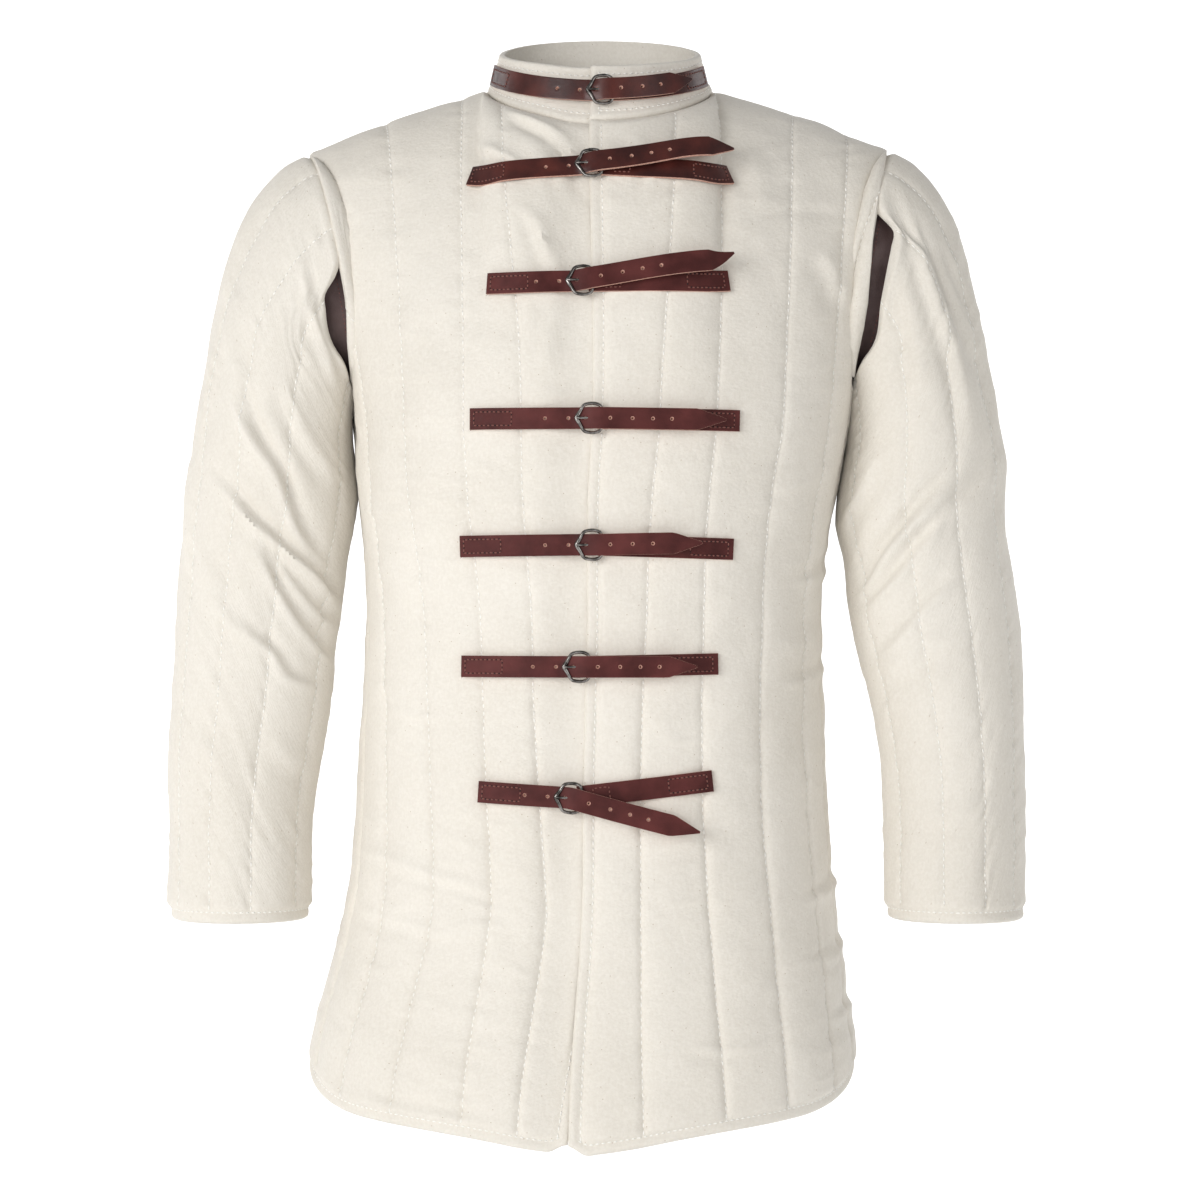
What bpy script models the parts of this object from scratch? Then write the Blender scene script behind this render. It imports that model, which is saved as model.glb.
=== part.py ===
"""A quilted, padded jacket (gambeson) filled out as if worn, with nobody in it.

Lengths in the tables are millimetres; the meshes are made in metres. +Z is up, the front
faces -Y, and +X is the wearer's left. The origin is the middle of the wearer's shoulder line.
"""
import math

import bmesh
import bpy
import numpy as np

MM = 0.001

# Cloth thicknesses and seams
SEAM_GAP = 0.3
QUILT_GROOVE = 3.0
QUILT_PUFF = 3.6
BORDER_WIDTH = 9.0
PUFF_RUN = 12.0
COLLAR_WALL = 3.6
LINING_INSET = 5.0
LEATHER = 2.0

# Body sections, hem to chest, measured outside the cloth: height, half width, depth of the
# front, depth of the back, and how far the section's middle sits towards the wearer's left
BODY_ROWS = [
    (-790, 214, 147, 139, -15),
    (-730, 213, 146, 137, -14),
    (-690, 205, 142, 133, -12),
    (-644, 196, 138, 128, -9),
    (-605, 189, 135, 123, -7),
    (-550, 183, 132, 116, -7),
    (-450, 178, 129, 108, -6),
    (-385, 176, 128, 107, -4),
    (-340, 178, 129, 111, -4),
    (-290, 185, 131, 118, -3),
    (-245, 191, 132, 123, 0),
    (-200, 194, 131, 126, 0),
]
BODY_SQUARENESS = 2.3
JOIN_HEIGHT = -245.0

# Hem height against the share of the way round from the middle to the side seam
FRONT_HEM = [(0.0, -782), (0.13, -777), (0.27, -770), (0.4, -765), (0.53, -761),
             (0.67, -756), (0.78, -748), (0.88, -738), (1.0, -727)]
BACK_HEM = [(0.0, -745), (0.5, -740), (1.0, -727)]
VENT_TOP = -690.0
VENT_OPENING = 2.2

# Neck seam and collar top, inside the cloth
NECK_HALF_WIDTH = 85.0
NECK_FRONT = 80.0
NECK_BACK = 62.0
NECK_HEIGHTS = (17.0, -22.0, -5.0)
COLLAR_HALF_WIDTH = 74.0
COLLAR_FRONT = 70.0
COLLAR_BACK = 56.0
COLLAR_TOP_MEAN = 54.0
COLLAR_TOP_TILT = -20.0
COLLAR_RADIUS = 80.0
COLLAR_HEIGHT = 42.0

# Shoulder seams and armholes, for the wearer's right (-1) and left (+1)
NECK_SHARE = 1.0 / 3.0
SHOULDER_SHARE = 0.8
SHOULDER_POINT = {-1: (226.0, -30.0), 1: (223.0, -27.0)}
ARMHOLE_CENTRE = -117.0
ARMHOLE_BOTTOM = -207.0
ARMHOLE_FRONT = 60.0
ARMHOLE_BACK = 62.0
ARMHOLE_LEAN_UP = {-1: 0.20, 1: 0.185}
ARMHOLE_LEAN_BACK = {-1: 0.16, 1: 0.04}
NOTCH_ANGLE = {-1: 88.0, 1: 58.0}
OPENING_GAP = {-1: 15.0, 1: 20.0}
UNDERARM_GAP = 15.0

# Quilting lines as shares of the way from the middle to the side seam, at the hem, skirt,
# waist, chest and top edge. The first line is the panel's own edge, the second its topstitch.
# The number after the name is how many columns of points lie between it and the next line.
LINE_LEVELS = (0.0, 0.32, 0.62, 1.0, 2.0)
LEFT_FRONT_LINES = [
    ("edge", 0, -0.030, -0.026, -0.022, -0.025, -0.020),
    ("topstitch", 2, 0.001, 0.006, 0.010, 0.006, 0.002),
    ("first", 3, 0.165, 0.145, 0.155, 0.172, 0.148),
    ("second", 2, 0.385, 0.343, 0.340, 0.337, 0.3333),
    ("third", 2, 0.565, 0.540, 0.540, 0.547, 0.545),
    ("fourth", 2, 0.740, 0.740, 0.740, 0.744, 0.690),
    ("fifth", 6, 0.870, 0.885, 0.885, 0.900, 0.855),
    ("side", 0, 1.0, 1.0, 1.0, 1.0, 1.0),
]
RIGHT_FRONT_LINES = [
    ("edge", 0, 0.032, -0.045, -0.075, -0.075, -0.045),
    ("topstitch", 3, 0.063, -0.014, -0.044, -0.044, -0.023),
    ("first", 2, 0.165, 0.126, 0.180, 0.230, 0.2100),
    ("second", 2, 0.310, 0.290, 0.340, 0.400, 0.3950),
    ("third", 2, 0.510, 0.470, 0.530, 0.600, 0.600),
    ("fourth", 4, 0.680, 0.650, 0.720, 0.790, 0.800),
    ("fifth", 5, 0.840, 0.820, 0.870, 0.920, 0.920),
    ("side", 0, 1.0, 1.0, 1.0, 1.0, 1.0),
]
BACK_LINES = [
    ("middle", 2, 0.0, 0.0, 0.0, 0.0, 0.0),
    ("first", 3, 0.175, 0.175, 0.175, 0.175, 0.1667),
    ("second", 2, 0.350, 0.350, 0.350, 0.345, 0.3333),
    ("third", 2, 0.520, 0.520, 0.520, 0.520, 0.480),
    ("fourth", 2, 0.690, 0.690, 0.690, 0.690, 0.640),
    ("fifth", 8, 0.850, 0.850, 0.850, 0.855, 0.800),
    ("side", 0, 1.0, 1.0, 1.0, 1.0, 1.0),
]
LOWER_ROWS = 9
UPPER_ROWS = 7
SLEEVE_STEPS = 2
CORNER_LIFT = 7.0

# Lap: where the left front's edge crosses the middle, height against place
LAP_EDGE = [(-790, -24), (-690, -20), (-600, -15), (-500, -13), (-420, -11), (-330, -10),
            (-230, -7), (-60, -8), (60, -9)]
LAP_RUN = 42.0
LAP_DEPTH = 4.6

# Sleeve sections from upper arm to cuff, outside the cloth: height, body side, outer side,
# half depth, how far forward, and how much lower the body side of the section hangs
SLEEVE_ROWS = {
    1: [
        (-238, 199, 311, 68, 0, 40),
        (-275, 193, 315, 66, 2, 28),
        (-312, 189, 318, 64, 4, 16),
        (-345, 195, 321, 62, 7, 8),
        (-385, 199, 325, 60, 11, 4),
        (-424, 207, 328, 59, 16, 2),
        (-470, 214, 330, 58, 20, 0),
        (-551, 221, 334, 57, 26, 0),
        (-616, 222, 334, 57, 30, 0),
    ],
    -1: [
        (-238, 201, 313, 68, 0, 40),
        (-275, 198, 320, 66, 2, 28),
        (-312, 198, 325, 64, 4, 16),
        (-345, 200, 327, 62, 7, 8),
        (-385, 205, 329, 60, 11, 4),
        (-424, 211, 332, 59, 16, 2),
        (-470, 212, 335, 58, 20, 0),
        (-551, 219, 337, 57, 26, 0),
        (-616, 224, 337, 57, 30, 0),
    ],
}
SLEEVE_LINES = (-4.0, 35.0, 70.0, 105.0, 148.0, 190.0, 232.0, 275.0, 316.0, 356.0)
CAP_ROWS = 7
ARM_ROWS = 10

# Elbow folds on the front of a sleeve: height at the outer end, height at the inner end,
# angle of each end, depth (minus is a trough) and half width
SLEEVE_FOLDS = [
    (-262, -395, 45, 150, -6.0, 15),
    (-290, -412, 40, 150, 4.5, 14),
    (-318, -442, 48, 158, -4.5, 15),
    (-372, -470, 60, 160, -3.5, 18),
]

# Closures, top to bottom: sewn end, buckle, tip and tab end as (across, height), how far the
# tip stands off
STRAP_WIDTH = 16.0
FRONT_CLOSURES = [
    (2, (-96, -55), (-7, -48), (85, -38), (96, -54), 7.0),
    (3, (-80, -137), (-14, -136), (95, -118), (94, -135), 6.0),
    (4, (-94, -237), (-7, -237), (88, -238), (101, -238), 2.0),
    (5, (-101, -331), (-7, -330), (71, -328), (96, -333), 3.0),
    (6, (-100, -421), (-16, -421), (67, -421), (85, -419), 2.0),
    (7, (-88, -514), (-22, -518), (69, -544), (81, -506), 6.0),
]
COLLAR_CLOSURE = (1, (-110, 23), (1, 23), (71, 24), (104, 23), 1.0)

# Buckle frame outline seen from the front: along the strap, across it
BUCKLE_OUTLINE = [(-10.5, 0.0), (-7.7, 4.6), (-4.8, 9.4), (-0.5, 10.7), (3.8, 10.6), (7.4, 8.8),
                  (8.6, 4.0), (8.6, -4.0), (7.4, -8.8), (3.8, -10.6), (-0.5, -10.7),
                  (-4.8, -9.4), (-7.7, -4.6)]
BUCKLE_WIRE = 1.0
PRONG_RADIUS = 0.85

# Leather edging of an open armpit
EDGING_INSIDE = 2.0
EDGING_OUTSIDE = 24.0
EDGING_INSET = 5.4

COTTON = ("unbleached_cotton", (0.87, 0.83, 0.75), 0.9, 0.0)
STRAP_LEATHER = ("strap_leather", (0.11, 0.035, 0.028), 0.45, 0.0)
EDGING_LEATHER = ("edging_leather", (0.10, 0.065, 0.055), 0.5, 0.0)
STEEL = ("antique_steel", (0.32, 0.30, 0.29), 0.35, 1.0)


def smoothstep(x):
    x = min(max(x, 0.0), 1.0)
    return x * x * (3.0 - 2.0 * x)


def unit(v):
    return v / max(np.linalg.norm(v), 1e-9)


def table_row(rows, key):
    """Smooth row of a table for a key in its first column."""
    rows = np.array(rows, float)
    rows = rows[np.argsort(rows[:, 0])]
    keys = rows[:, 0]
    key = min(max(key, keys[0]), keys[-1])
    i = min(max(int(np.searchsorted(keys, key)) - 1, 0), len(keys) - 2)
    slopes = np.gradient(rows[:, 1:], keys, axis=0)
    step = keys[i + 1] - keys[i]
    t = (key - keys[i]) / step
    low, high = rows[i, 1:], rows[i + 1, 1:]
    return ((1 + 2 * t) * (1 - t) ** 2 * low + t * (1 - t) ** 2 * step * slopes[i]
            + t * t * (3 - 2 * t) * high + t * t * (t - 1) * step * slopes[i + 1])


def quarter(across, deep, share):
    """Point a share of the way along a rounded quarter, from the middle to the side."""
    turns = np.linspace(0.0, math.pi / 2, 97)
    x = across * np.sin(turns) ** (2 / BODY_SQUARENESS)
    y = deep * np.cos(turns) ** (2 / BODY_SQUARENESS)
    run = np.concatenate([[0.0], np.cumsum(np.hypot(np.diff(x), np.diff(y)))])
    return np.interp(share * run[-1], run, x), np.interp(share * run[-1], run, y)


def section_point(share, height, face):
    """Point of the lining side of the body's section; share is signed, + to the left."""
    half_width, front, back, shift = table_row(BODY_ROWS, height)
    deep = front if face < 0 else back
    x, y = quarter(half_width - LINING_INSET, deep - LINING_INSET, abs(share))
    return np.array([shift + math.copysign(x, share), face * y, height])


def neck_point(turn):
    """Neck seam at a turn in degrees from the front middle, + to the wearer's left."""
    c, s = math.cos(math.radians(turn)), math.sin(math.radians(turn))
    deep = NECK_FRONT if c > 0 else NECK_BACK
    mean, tilt, arch = NECK_HEIGHTS
    return np.array([NECK_HALF_WIDTH * s, -deep * c,
                     mean + tilt * c + arch * math.cos(math.radians(2 * turn))])


def neck_outward(turn):
    c, s = math.cos(math.radians(turn)), math.sin(math.radians(turn))
    return unit(np.array([0.8 * s, -0.8 * c, 0.6]))


def armhole_point(side, turn):
    """Armhole seam at a turn in degrees from the shoulder: 90 front, 180 underarm."""
    c, s = math.cos(math.radians(turn)), math.sin(math.radians(turn))
    top_x, top_z = SHOULDER_POINT[side]
    rise = top_z - ARMHOLE_CENTRE if c > 0 else ARMHOLE_CENTRE - ARMHOLE_BOTTOM
    deep = ARMHOLE_FRONT if s > 0 else ARMHOLE_BACK
    y, z = -deep * s, ARMHOLE_CENTRE + rise * c
    x = top_x + ARMHOLE_LEAN_UP[side] * (z - top_z) + ARMHOLE_LEAN_BACK[side] * y
    return np.array([side * x, y, z])


def armhole_outward(side, turn):
    """Direction in the armhole's plane, away from its middle."""
    c, s = math.cos(math.radians(turn)), math.sin(math.radians(turn))
    lean = ARMHOLE_LEAN_UP[side] * c - ARMHOLE_LEAN_BACK[side] * s
    return unit(np.array([side * lean, -s, c]))


def armhole_normal(side):
    return unit(np.array([side, -ARMHOLE_LEAN_BACK[side], -ARMHOLE_LEAN_UP[side]]))


def top_edge(share, face):
    """Where a body column ends: point, running direction and the cloth's outward direction."""
    side = 1 if share >= 0 else -1
    s = abs(share)
    if s <= NECK_SHARE:
        turn = side * 90.0 * s / NECK_SHARE
        turn = turn if face < 0 else 180.0 - turn
        lift = math.sin(math.radians(turn)) ** 2
        run = np.array([-0.10 * side * lift, -face * (0.45 + 0.55 * lift), 0.9 - 0.65 * lift])
        return neck_point(turn), unit(run), neck_outward(turn)
    corner = neck_point(90.0 * side)
    top_x, top_z = SHOULDER_POINT[side]
    shoulder = np.array([side * top_x, 0.0, top_z])
    slope = unit(np.array([side * (corner[2] - top_z), 0.0, top_x - NECK_HALF_WIDTH]))
    if s <= SHOULDER_SHARE:
        t = (s - NECK_SHARE) / (SHOULDER_SHARE - NECK_SHARE)
        point = corner + (shoulder - corner) * t
        point[2] += 3.0 * math.sin(math.pi * t)
        out = unit(neck_outward(90.0 * side) * (1 - t) ** 3 + slope * t * (1 - t)
                   + armhole_outward(side, 0.0) * t ** 3)
        lean = 0.2 * t - 0.1 + (0.1 * ARMHOLE_LEAN_UP[side] - face * ARMHOLE_LEAN_BACK[side]) * t
        return point, unit(np.array([lean * side, -face, 0.25 - 0.15 * t])), out
    t = (s - SHOULDER_SHARE) / (1.0 - SHOULDER_SHARE)
    turn = 180.0 * t if face < 0 else 360.0 - 180.0 * t
    over = max(0.0, 1.0 - 2.2 * t)
    climb = 0.10 + 0.9 * min(1.0, 2.2 * t)
    in_plane = ARMHOLE_LEAN_UP[side] * climb - face * ARMHOLE_LEAN_BACK[side] * over
    lean = in_plane + 0.1 + 0.25 * smoothstep(4.0 * t) * (1.0 - 0.6 * t)
    run = np.array([lean * side, -face * over, climb])
    sewn = armhole_outward(side, turn)
    free = smoothstep((180.0 * t - NOTCH_ANGLE[side]) / 60.0)
    flank = unit(np.array([side, 0.35 * face * (1 - free), 0.0]))
    return armhole_point(side, turn), unit(run), unit(sewn * (1 - free) + flank * free)


def lining_point(share, level, face):
    """Lining side of a body panel; level 0 is the hem, 1 the chest join, 2 the top edge."""
    share_in = min(max(share, -1.0), 1.0)
    if level <= 1.0:
        rows = FRONT_HEM if face < 0 else BACK_HEM
        hem = table_row([(r[0], r[1]) for r in rows], abs(share_in))[0]
        return section_point(share_in, hem + (JOIN_HEIGHT - hem) * level, face)
    low = section_point(share_in, JOIN_HEIGHT, face)
    rise = unit(section_point(share_in, JOIN_HEIGHT + 10, face)
                - section_point(share_in, JOIN_HEIGHT - 10, face))
    high, run, _ = top_edge(share_in, face)
    t = min(level - 1.0, 1.0)
    chord = np.linalg.norm(high - low)
    return ((1 + 2 * t) * (1 - t) ** 2 * low + t * (1 - t) ** 2 * chord * 0.95 * rise
            + t * t * (3 - 2 * t) * high + t * t * (t - 1) * chord * 0.85 * run)


def body_outward(share, level, face):
    """Outward direction of a body panel, turned into its seams at the side and top."""
    e = 0.004
    inner = min(max(share, -1.0 + e), 1.0 - e)
    across = lining_point(inner + e, level, face) - lining_point(inner - e, level, face)
    low, high = max(level - e, 0.0), min(level + e, 2.0)
    up = lining_point(inner, high, face) - lining_point(inner, low, face)
    natural = unit(np.cross(across, up)) * (-face)
    side = 1.0 if share >= 0 else -1.0
    seam = smoothstep((abs(share) - 0.93) / 0.07)
    natural = unit(natural * (1 - seam) + np.array([side, 0.0, 0.0]) * seam)
    edge = smoothstep((level - 1.8) / 0.2)
    return unit(natural * (1 - edge) + top_edge(share, face)[2] * edge)


def lap_sink(point):
    """How far the lower front lies in, where the other laps over it."""
    edge = table_row(LAP_EDGE, point[2])[0]
    return LAP_DEPTH * smoothstep((point[0] - (edge - LAP_RUN)) / (LAP_RUN - 6.0))


def line_shares(lines, level):
    """Shares of a panel's quilting lines at a level."""
    return [float(np.interp(level, LINE_LEVELS, row[2:])) for row in lines]


def channel(low, high, steps):
    """Places and puffs of one quilted channel: its line, then the steps across it."""
    parts = [k / (steps + 1) for k in range(steps + 1)]
    return [low + (high - low) * f for f in parts], [math.sin(math.pi * f) ** 0.45 for f in parts]


def columns(lines, level):
    """Shares and puffs of a panel's columns at a level."""
    marks = line_shares(lines, level)
    shares, puffs = [], []
    for row, low, high in zip(lines, marks, marks[1:]):
        more, swell = channel(low, high, row[1])
        shares += more
        puffs += swell
    return shares + [marks[-1]], puffs + [0.0]


def row_levels(face):
    """Levels of the rows: the hem, its topstitch, then even rows to the top edge."""
    height = JOIN_HEIGHT - FRONT_HEM[0][1]
    border = BORDER_WIDTH / height
    lower = [0.0, border] + [border + PUFF_RUN / height * 1.4]
    rest = np.linspace(lower[-1], 1.0, LOWER_ROWS - 1)[1:]
    upper = [1.0 + t for t in np.linspace(0.0, 1.0, UPPER_ROWS + 1)[1:]]
    return lower + list(rest) + upper[:-1] + [1.95, 2.0]


def panel_grids(share_side, lines, face, under=False):
    """Inner and outer points of a body panel; share_side is the sign of its shares."""
    inner, outer = [], []
    levels = row_levels(face)
    for r, level in enumerate(levels):
        shares, puffs = columns(lines, level)
        fade = 0.0 if r < 2 or r >= len(levels) - 1 else 0.55 if r == len(levels) - 2 else 1.0
        row_in, row_out = [], []
        for share, puff in zip(shares, puffs):
            signed = share * share_side
            point = lining_point(signed, level, face)
            out = body_outward(signed, level, face)
            thick = QUILT_GROOVE + QUILT_PUFF * puff * fade
            vent = smoothstep((VENT_TOP - point[2]) / 30.0) * smoothstep((share - 0.9) / 0.1)
            point = point + np.array([0.0, face * (SEAM_GAP / 2 + VENT_OPENING * vent), 0.0])
            if r == 0 and face < 0 and share == shares[0]:
                point[2] += CORNER_LIFT
            if under:
                sink = lap_sink(point)
                point = point - out * sink
                thick = QUILT_GROOVE + QUILT_PUFF * puff * fade * (1 - sink / LAP_DEPTH)
            row_in.append(point)
            row_out.append(point + out * thick)
        inner.append(row_in)
        outer.append(row_out)
    return np.array(inner), np.array(outer)


def back_grids():
    """The back, one panel from side seam to side seam."""
    right_in, right_out = panel_grids(-1, BACK_LINES, 1)
    left_in, left_out = panel_grids(1, BACK_LINES, 1)
    return (np.concatenate([right_in[:, :0:-1], left_in], axis=1),
            np.concatenate([right_out[:, :0:-1], left_out], axis=1))


def sleeve_section(side, height, turn):
    """Lining side of a sleeve section below the upper arm."""
    body_side, outer_side, deep, forward, drop = table_row(SLEEVE_ROWS[side], height)
    c, s = math.cos(math.radians(turn)), math.sin(math.radians(turn))
    reach = (outer_side - body_side) / 2 - LINING_INSET
    x = (outer_side + body_side) / 2 + reach * c
    y = -forward - (deep - LINING_INSET) * s
    return np.array([side * x, y, height + drop / 2 * c])


def fold_depth(height, turn):
    """Sum of the elbow folds at a place on a sleeve."""
    total = 0.0
    for outer_z, inner_z, outer_turn, inner_turn, depth, half_width in SLEEVE_FOLDS:
        t = (turn - outer_turn) / (inner_turn - outer_turn)
        if -0.25 < t < 1.25:
            middle = outer_z + (inner_z - outer_z) * t
            fade = smoothstep((t + 0.25) / 0.35) * smoothstep((1.25 - t) / 0.35)
            total += depth * fade * math.exp(-((height - middle) / half_width) ** 2)
    return total


def sleeve_start(side, turn):
    """Where a sleeve column starts: sewn to the armhole, or standing off at the armpit."""
    turn = turn % 360.0
    away = turn if turn <= 180.0 else 360.0 - turn
    notch = NOTCH_ANGLE[side]
    open_share = smoothstep((away - notch) / 14.0)
    under = smoothstep((away - notch) / (180.0 - notch))
    gap = OPENING_GAP[side] + (UNDERARM_GAP - OPENING_GAP[side]) * under
    return armhole_point(side, turn) + armhole_normal(side) * (SEAM_GAP / 2 + gap * open_share)


def sleeve_point(side, turn, level):
    """Lining side of a sleeve; level 0 to 1 is the cap, 1 to 2 the arm down to the cuff."""
    top, cuff = SLEEVE_ROWS[side][0][0], SLEEVE_ROWS[side][-1][0]
    if level >= 1.0:
        height = top + (cuff - top) * (level - 1.0)
        point = sleeve_section(side, height, turn)
        middle = sleeve_section(side, height, turn + 180.0)
        out = unit(point - middle)
        return point + out * fold_depth(point[2], turn)
    start = sleeve_start(side, turn)
    end = sleeve_section(side, top, turn)
    c = math.cos(math.radians(turn))
    leave = unit(np.array([side * (0.62 + 0.38 * c), 0.0, -0.62 + 0.34 * c]))
    below = sleeve_section(side, top - 12.0, turn) - end
    arrive = unit(below)
    chord = np.linalg.norm(end - start)
    t = level
    return ((1 + 2 * t) * (1 - t) ** 2 * start + t * (1 - t) ** 2 * chord * 1.0 * leave
            + t * t * (3 - 2 * t) * end + t * t * (t - 1) * chord * 1.0 * arrive)


def sleeve_outward(side, turn, level):
    e = 0.01
    around = sleeve_point(side, turn + 1.0, level) - sleeve_point(side, turn - 1.0, level)
    low, high = max(level - e, 0.0), min(level + e, 2.0)
    along = sleeve_point(side, turn, high) - sleeve_point(side, turn, low)
    natural = unit(np.cross(around, along)) * side
    away = turn % 360.0
    away = away if away <= 180.0 else 360.0 - away
    sewn = smoothstep((0.25 - level) / 0.25)
    sewn *= smoothstep((NOTCH_ANGLE[side] + 16.0 - away) / 16.0)
    return unit(natural * (1 - sewn) + armhole_outward(side, turn) * sewn)


def sleeve_grids(side):
    levels = list(np.linspace(0.0, 1.0, CAP_ROWS + 1)) + list(
        np.linspace(1.0, 2.0, ARM_ROWS + 1)[1:])
    cuff_length = SLEEVE_ROWS[side][0][0] - SLEEVE_ROWS[side][-1][0]
    levels[-1:] = [2.0 - 1.6 * BORDER_WIDTH / cuff_length - PUFF_RUN / cuff_length,
                   2.0 - BORDER_WIDTH / cuff_length, 2.0]
    turns, puffs = [], []
    for low, high in zip(SLEEVE_LINES, SLEEVE_LINES[1:]):
        more, swell = channel(low, high, SLEEVE_STEPS)
        turns += more
        puffs += swell
    turns.append(SLEEVE_LINES[0] + 360.0)
    puffs.append(0.0)
    inner, outer = [], []
    for r, level in enumerate(levels):
        fade = 0.0 if r == 0 or r >= len(levels) - 2 else 1.0
        row_in = [sleeve_point(side, turn, level) for turn in turns]
        row_out = [point + sleeve_outward(side, turn, level)
                   * (QUILT_GROOVE + QUILT_PUFF * puff * fade)
                   for point, turn, puff in zip(row_in, turns, puffs)]
        inner.append(row_in)
        outer.append(row_out)
    return np.array(inner), np.array(outer)


def collar_point(turn, rise):
    """Lining side of the collar; rise 0 is the neck seam and 1 its top edge."""
    seam = neck_point(turn)
    c, s = math.cos(math.radians(turn)), math.sin(math.radians(turn))
    deep = COLLAR_FRONT if c > 0 else COLLAR_BACK
    top = np.array([COLLAR_HALF_WIDTH * s, -deep * c, COLLAR_TOP_MEAN + COLLAR_TOP_TILT * c])
    lean = unit(np.array([-0.6 * 0.8 * s, 0.6 * 0.8 * c, 0.64]))
    seam = seam + lean * SEAM_GAP
    curve = 4.0 * math.sin(math.pi * rise) ** 2
    return seam + (top - seam) * rise - neck_outward(turn) * curve * (1 - rise)


def collar_outward(turn, rise):
    around = collar_point(turn + 1.0, rise) - collar_point(turn - 1.0, rise)
    low, high = max(rise - 0.02, 0.0), min(rise + 0.02, 1.0)
    up = collar_point(turn, high) - collar_point(turn, low)
    natural = unit(np.cross(around, up))
    seam = smoothstep((0.2 - rise) / 0.2)
    return unit(natural * (1 - seam) + neck_outward(turn) * seam)


def neck_turns(lines, face):
    """Turns of a panel's columns along its half of the neck seam, from the middle."""
    shares = [s for s in columns(lines, 2.0)[0] if s < NECK_SHARE + 0.001]
    turns = [90.0 * s / NECK_SHARE for s in shares]
    return turns if face < 0 else [180.0 - turn for turn in turns]


def collar_turns():
    """From the tucked-in end, round the wearer's right and the back, to the lapped end."""
    right = [-turn for turn in neck_turns(RIGHT_FRONT_LINES, -1)]
    back = neck_turns(BACK_LINES, 1)
    behind = [-turn for turn in back[::-1]] + [turn - 360.0 for turn in back[1:]]
    left = [turn - 360.0 for turn in neck_turns(LEFT_FRONT_LINES, -1)[::-1]]
    return right + behind[1:] + left[1:]


def collar_grids():
    """The collar runs from its tucked-in end, round the back, to the end that laps over."""
    inner, outer = [], []
    for rise in (0.0, 0.2, 0.5, 0.8, 1.0):
        row_in, row_out = [], []
        for turn in collar_turns():
            point, out = collar_point(turn, rise), collar_outward(turn, rise)
            if turn > -90.0:
                point = point - out * lap_sink(point)
            row_in.append(point)
            row_out.append(point + out * (COLLAR_WALL if rise < 1.0 else COLLAR_WALL * 0.85))
        inner.append(row_in)
        outer.append(row_out)
    return np.array(inner), np.array(outer)


def material(kind):
    name, colour, roughness, metallic = kind
    found = bpy.data.materials.get(name)
    if found:
        return found
    made = bpy.data.materials.new(name)
    made.use_nodes = True
    shader = made.node_tree.nodes["Principled BSDF"]
    shader.inputs["Base Color"].default_value = (*colour, 1.0)
    shader.inputs["Roughness"].default_value = roughness
    shader.inputs["Metallic"].default_value = metallic
    return made


def finish(name, bm, kind):
    """Turn a bmesh into a named, smooth-shaded object."""
    bmesh.ops.recalc_face_normals(bm, faces=bm.faces)
    mesh = bpy.data.meshes.new(name)
    bm.to_mesh(mesh)
    bm.free()
    mesh.shade_smooth()
    mesh.set_sharp_from_angle(angle=math.radians(50))
    obj = bpy.data.objects.new(name, mesh)
    obj.data.materials.append(material(kind))
    bpy.context.scene.collection.objects.link(obj)
    return obj


def wall(name, inner, outer, kind, closed=False):
    """A closed wall between two grids of points, made by extruding a grid."""
    rows, cols = inner.shape[:2]
    bm = bmesh.new()
    bmesh.ops.create_grid(bm, x_segments=cols - 1, y_segments=rows - 1, size=1.0)
    place = bm.verts.layers.int.new("place")
    for v in bm.verts:
        c = round((v.co.x + 1) / 2 * (cols - 1))
        r = round((v.co.y + 1) / 2 * (rows - 1))
        v[place] = r * cols + c
        v.co = inner[r, c] * MM
    if closed:
        bmesh.ops.remove_doubles(bm, verts=bm.verts, dist=1e-6)
    made = bmesh.ops.extrude_face_region(bm, geom=bm.faces[:], use_keep_orig=True)
    for v in (g for g in made["geom"] if isinstance(g, bmesh.types.BMVert)):
        v.co = outer[divmod(v[place], cols)] * MM
    return finish(name, bm, kind)


def front_surface(across, height, face=-1):
    """Point and outward direction of the front's lining side at a place seen from the front."""
    share, level = across / 285.0, 1.0 + (height - JOIN_HEIGHT) / 240.0
    if height < JOIN_HEIGHT:
        level = 1.0 - (JOIN_HEIGHT - height) / 535.0
    for _ in range(12):
        here = lining_point(share, level, face)
        miss = np.array([across - here[0], height - here[2]])
        if np.abs(miss).max() < 0.01:
            break
        e = 0.003
        by_share = (lining_point(share + e, level, face) - here) / e
        by_level = (lining_point(share, level + e, face) - here) / e
        slope = np.array([[by_share[0], by_level[0]], [by_share[2], by_level[2]]])
        share, level = np.array([share, level]) + np.linalg.solve(slope, miss)
        level = min(max(level, 0.0), 1.98)
    return lining_point(share, level, face), body_outward(share, level, face)


def collar_surface(along, height):
    """Point and outward direction of the collar's lining side, at a way round it and up it."""
    turn, rise = math.degrees(along / COLLAR_RADIUS), height / COLLAR_HEIGHT
    return collar_point(turn, rise), collar_outward(turn, rise)


def lie(surface, route, width):
    """Centre points, across directions and outward directions of a strap on a surface.

    The route's rows are across, height and how far its lower face is from the lining."""
    centres, normals = [], []
    for across, height, lift in route:
        point, out = surface(across, height)
        centres.append(point + out * lift)
        normals.append(out)
    centres, normals = np.array(centres), np.array(normals)
    runs = np.gradient(centres, axis=0)
    sides, tops = [], []
    for run, out in zip(runs, normals):
        side = unit(np.cross(out, run))
        sides.append(side * width / 2)
        tops.append(unit(np.cross(run, side)))
    return centres, np.array(sides), np.array(tops)


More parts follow.
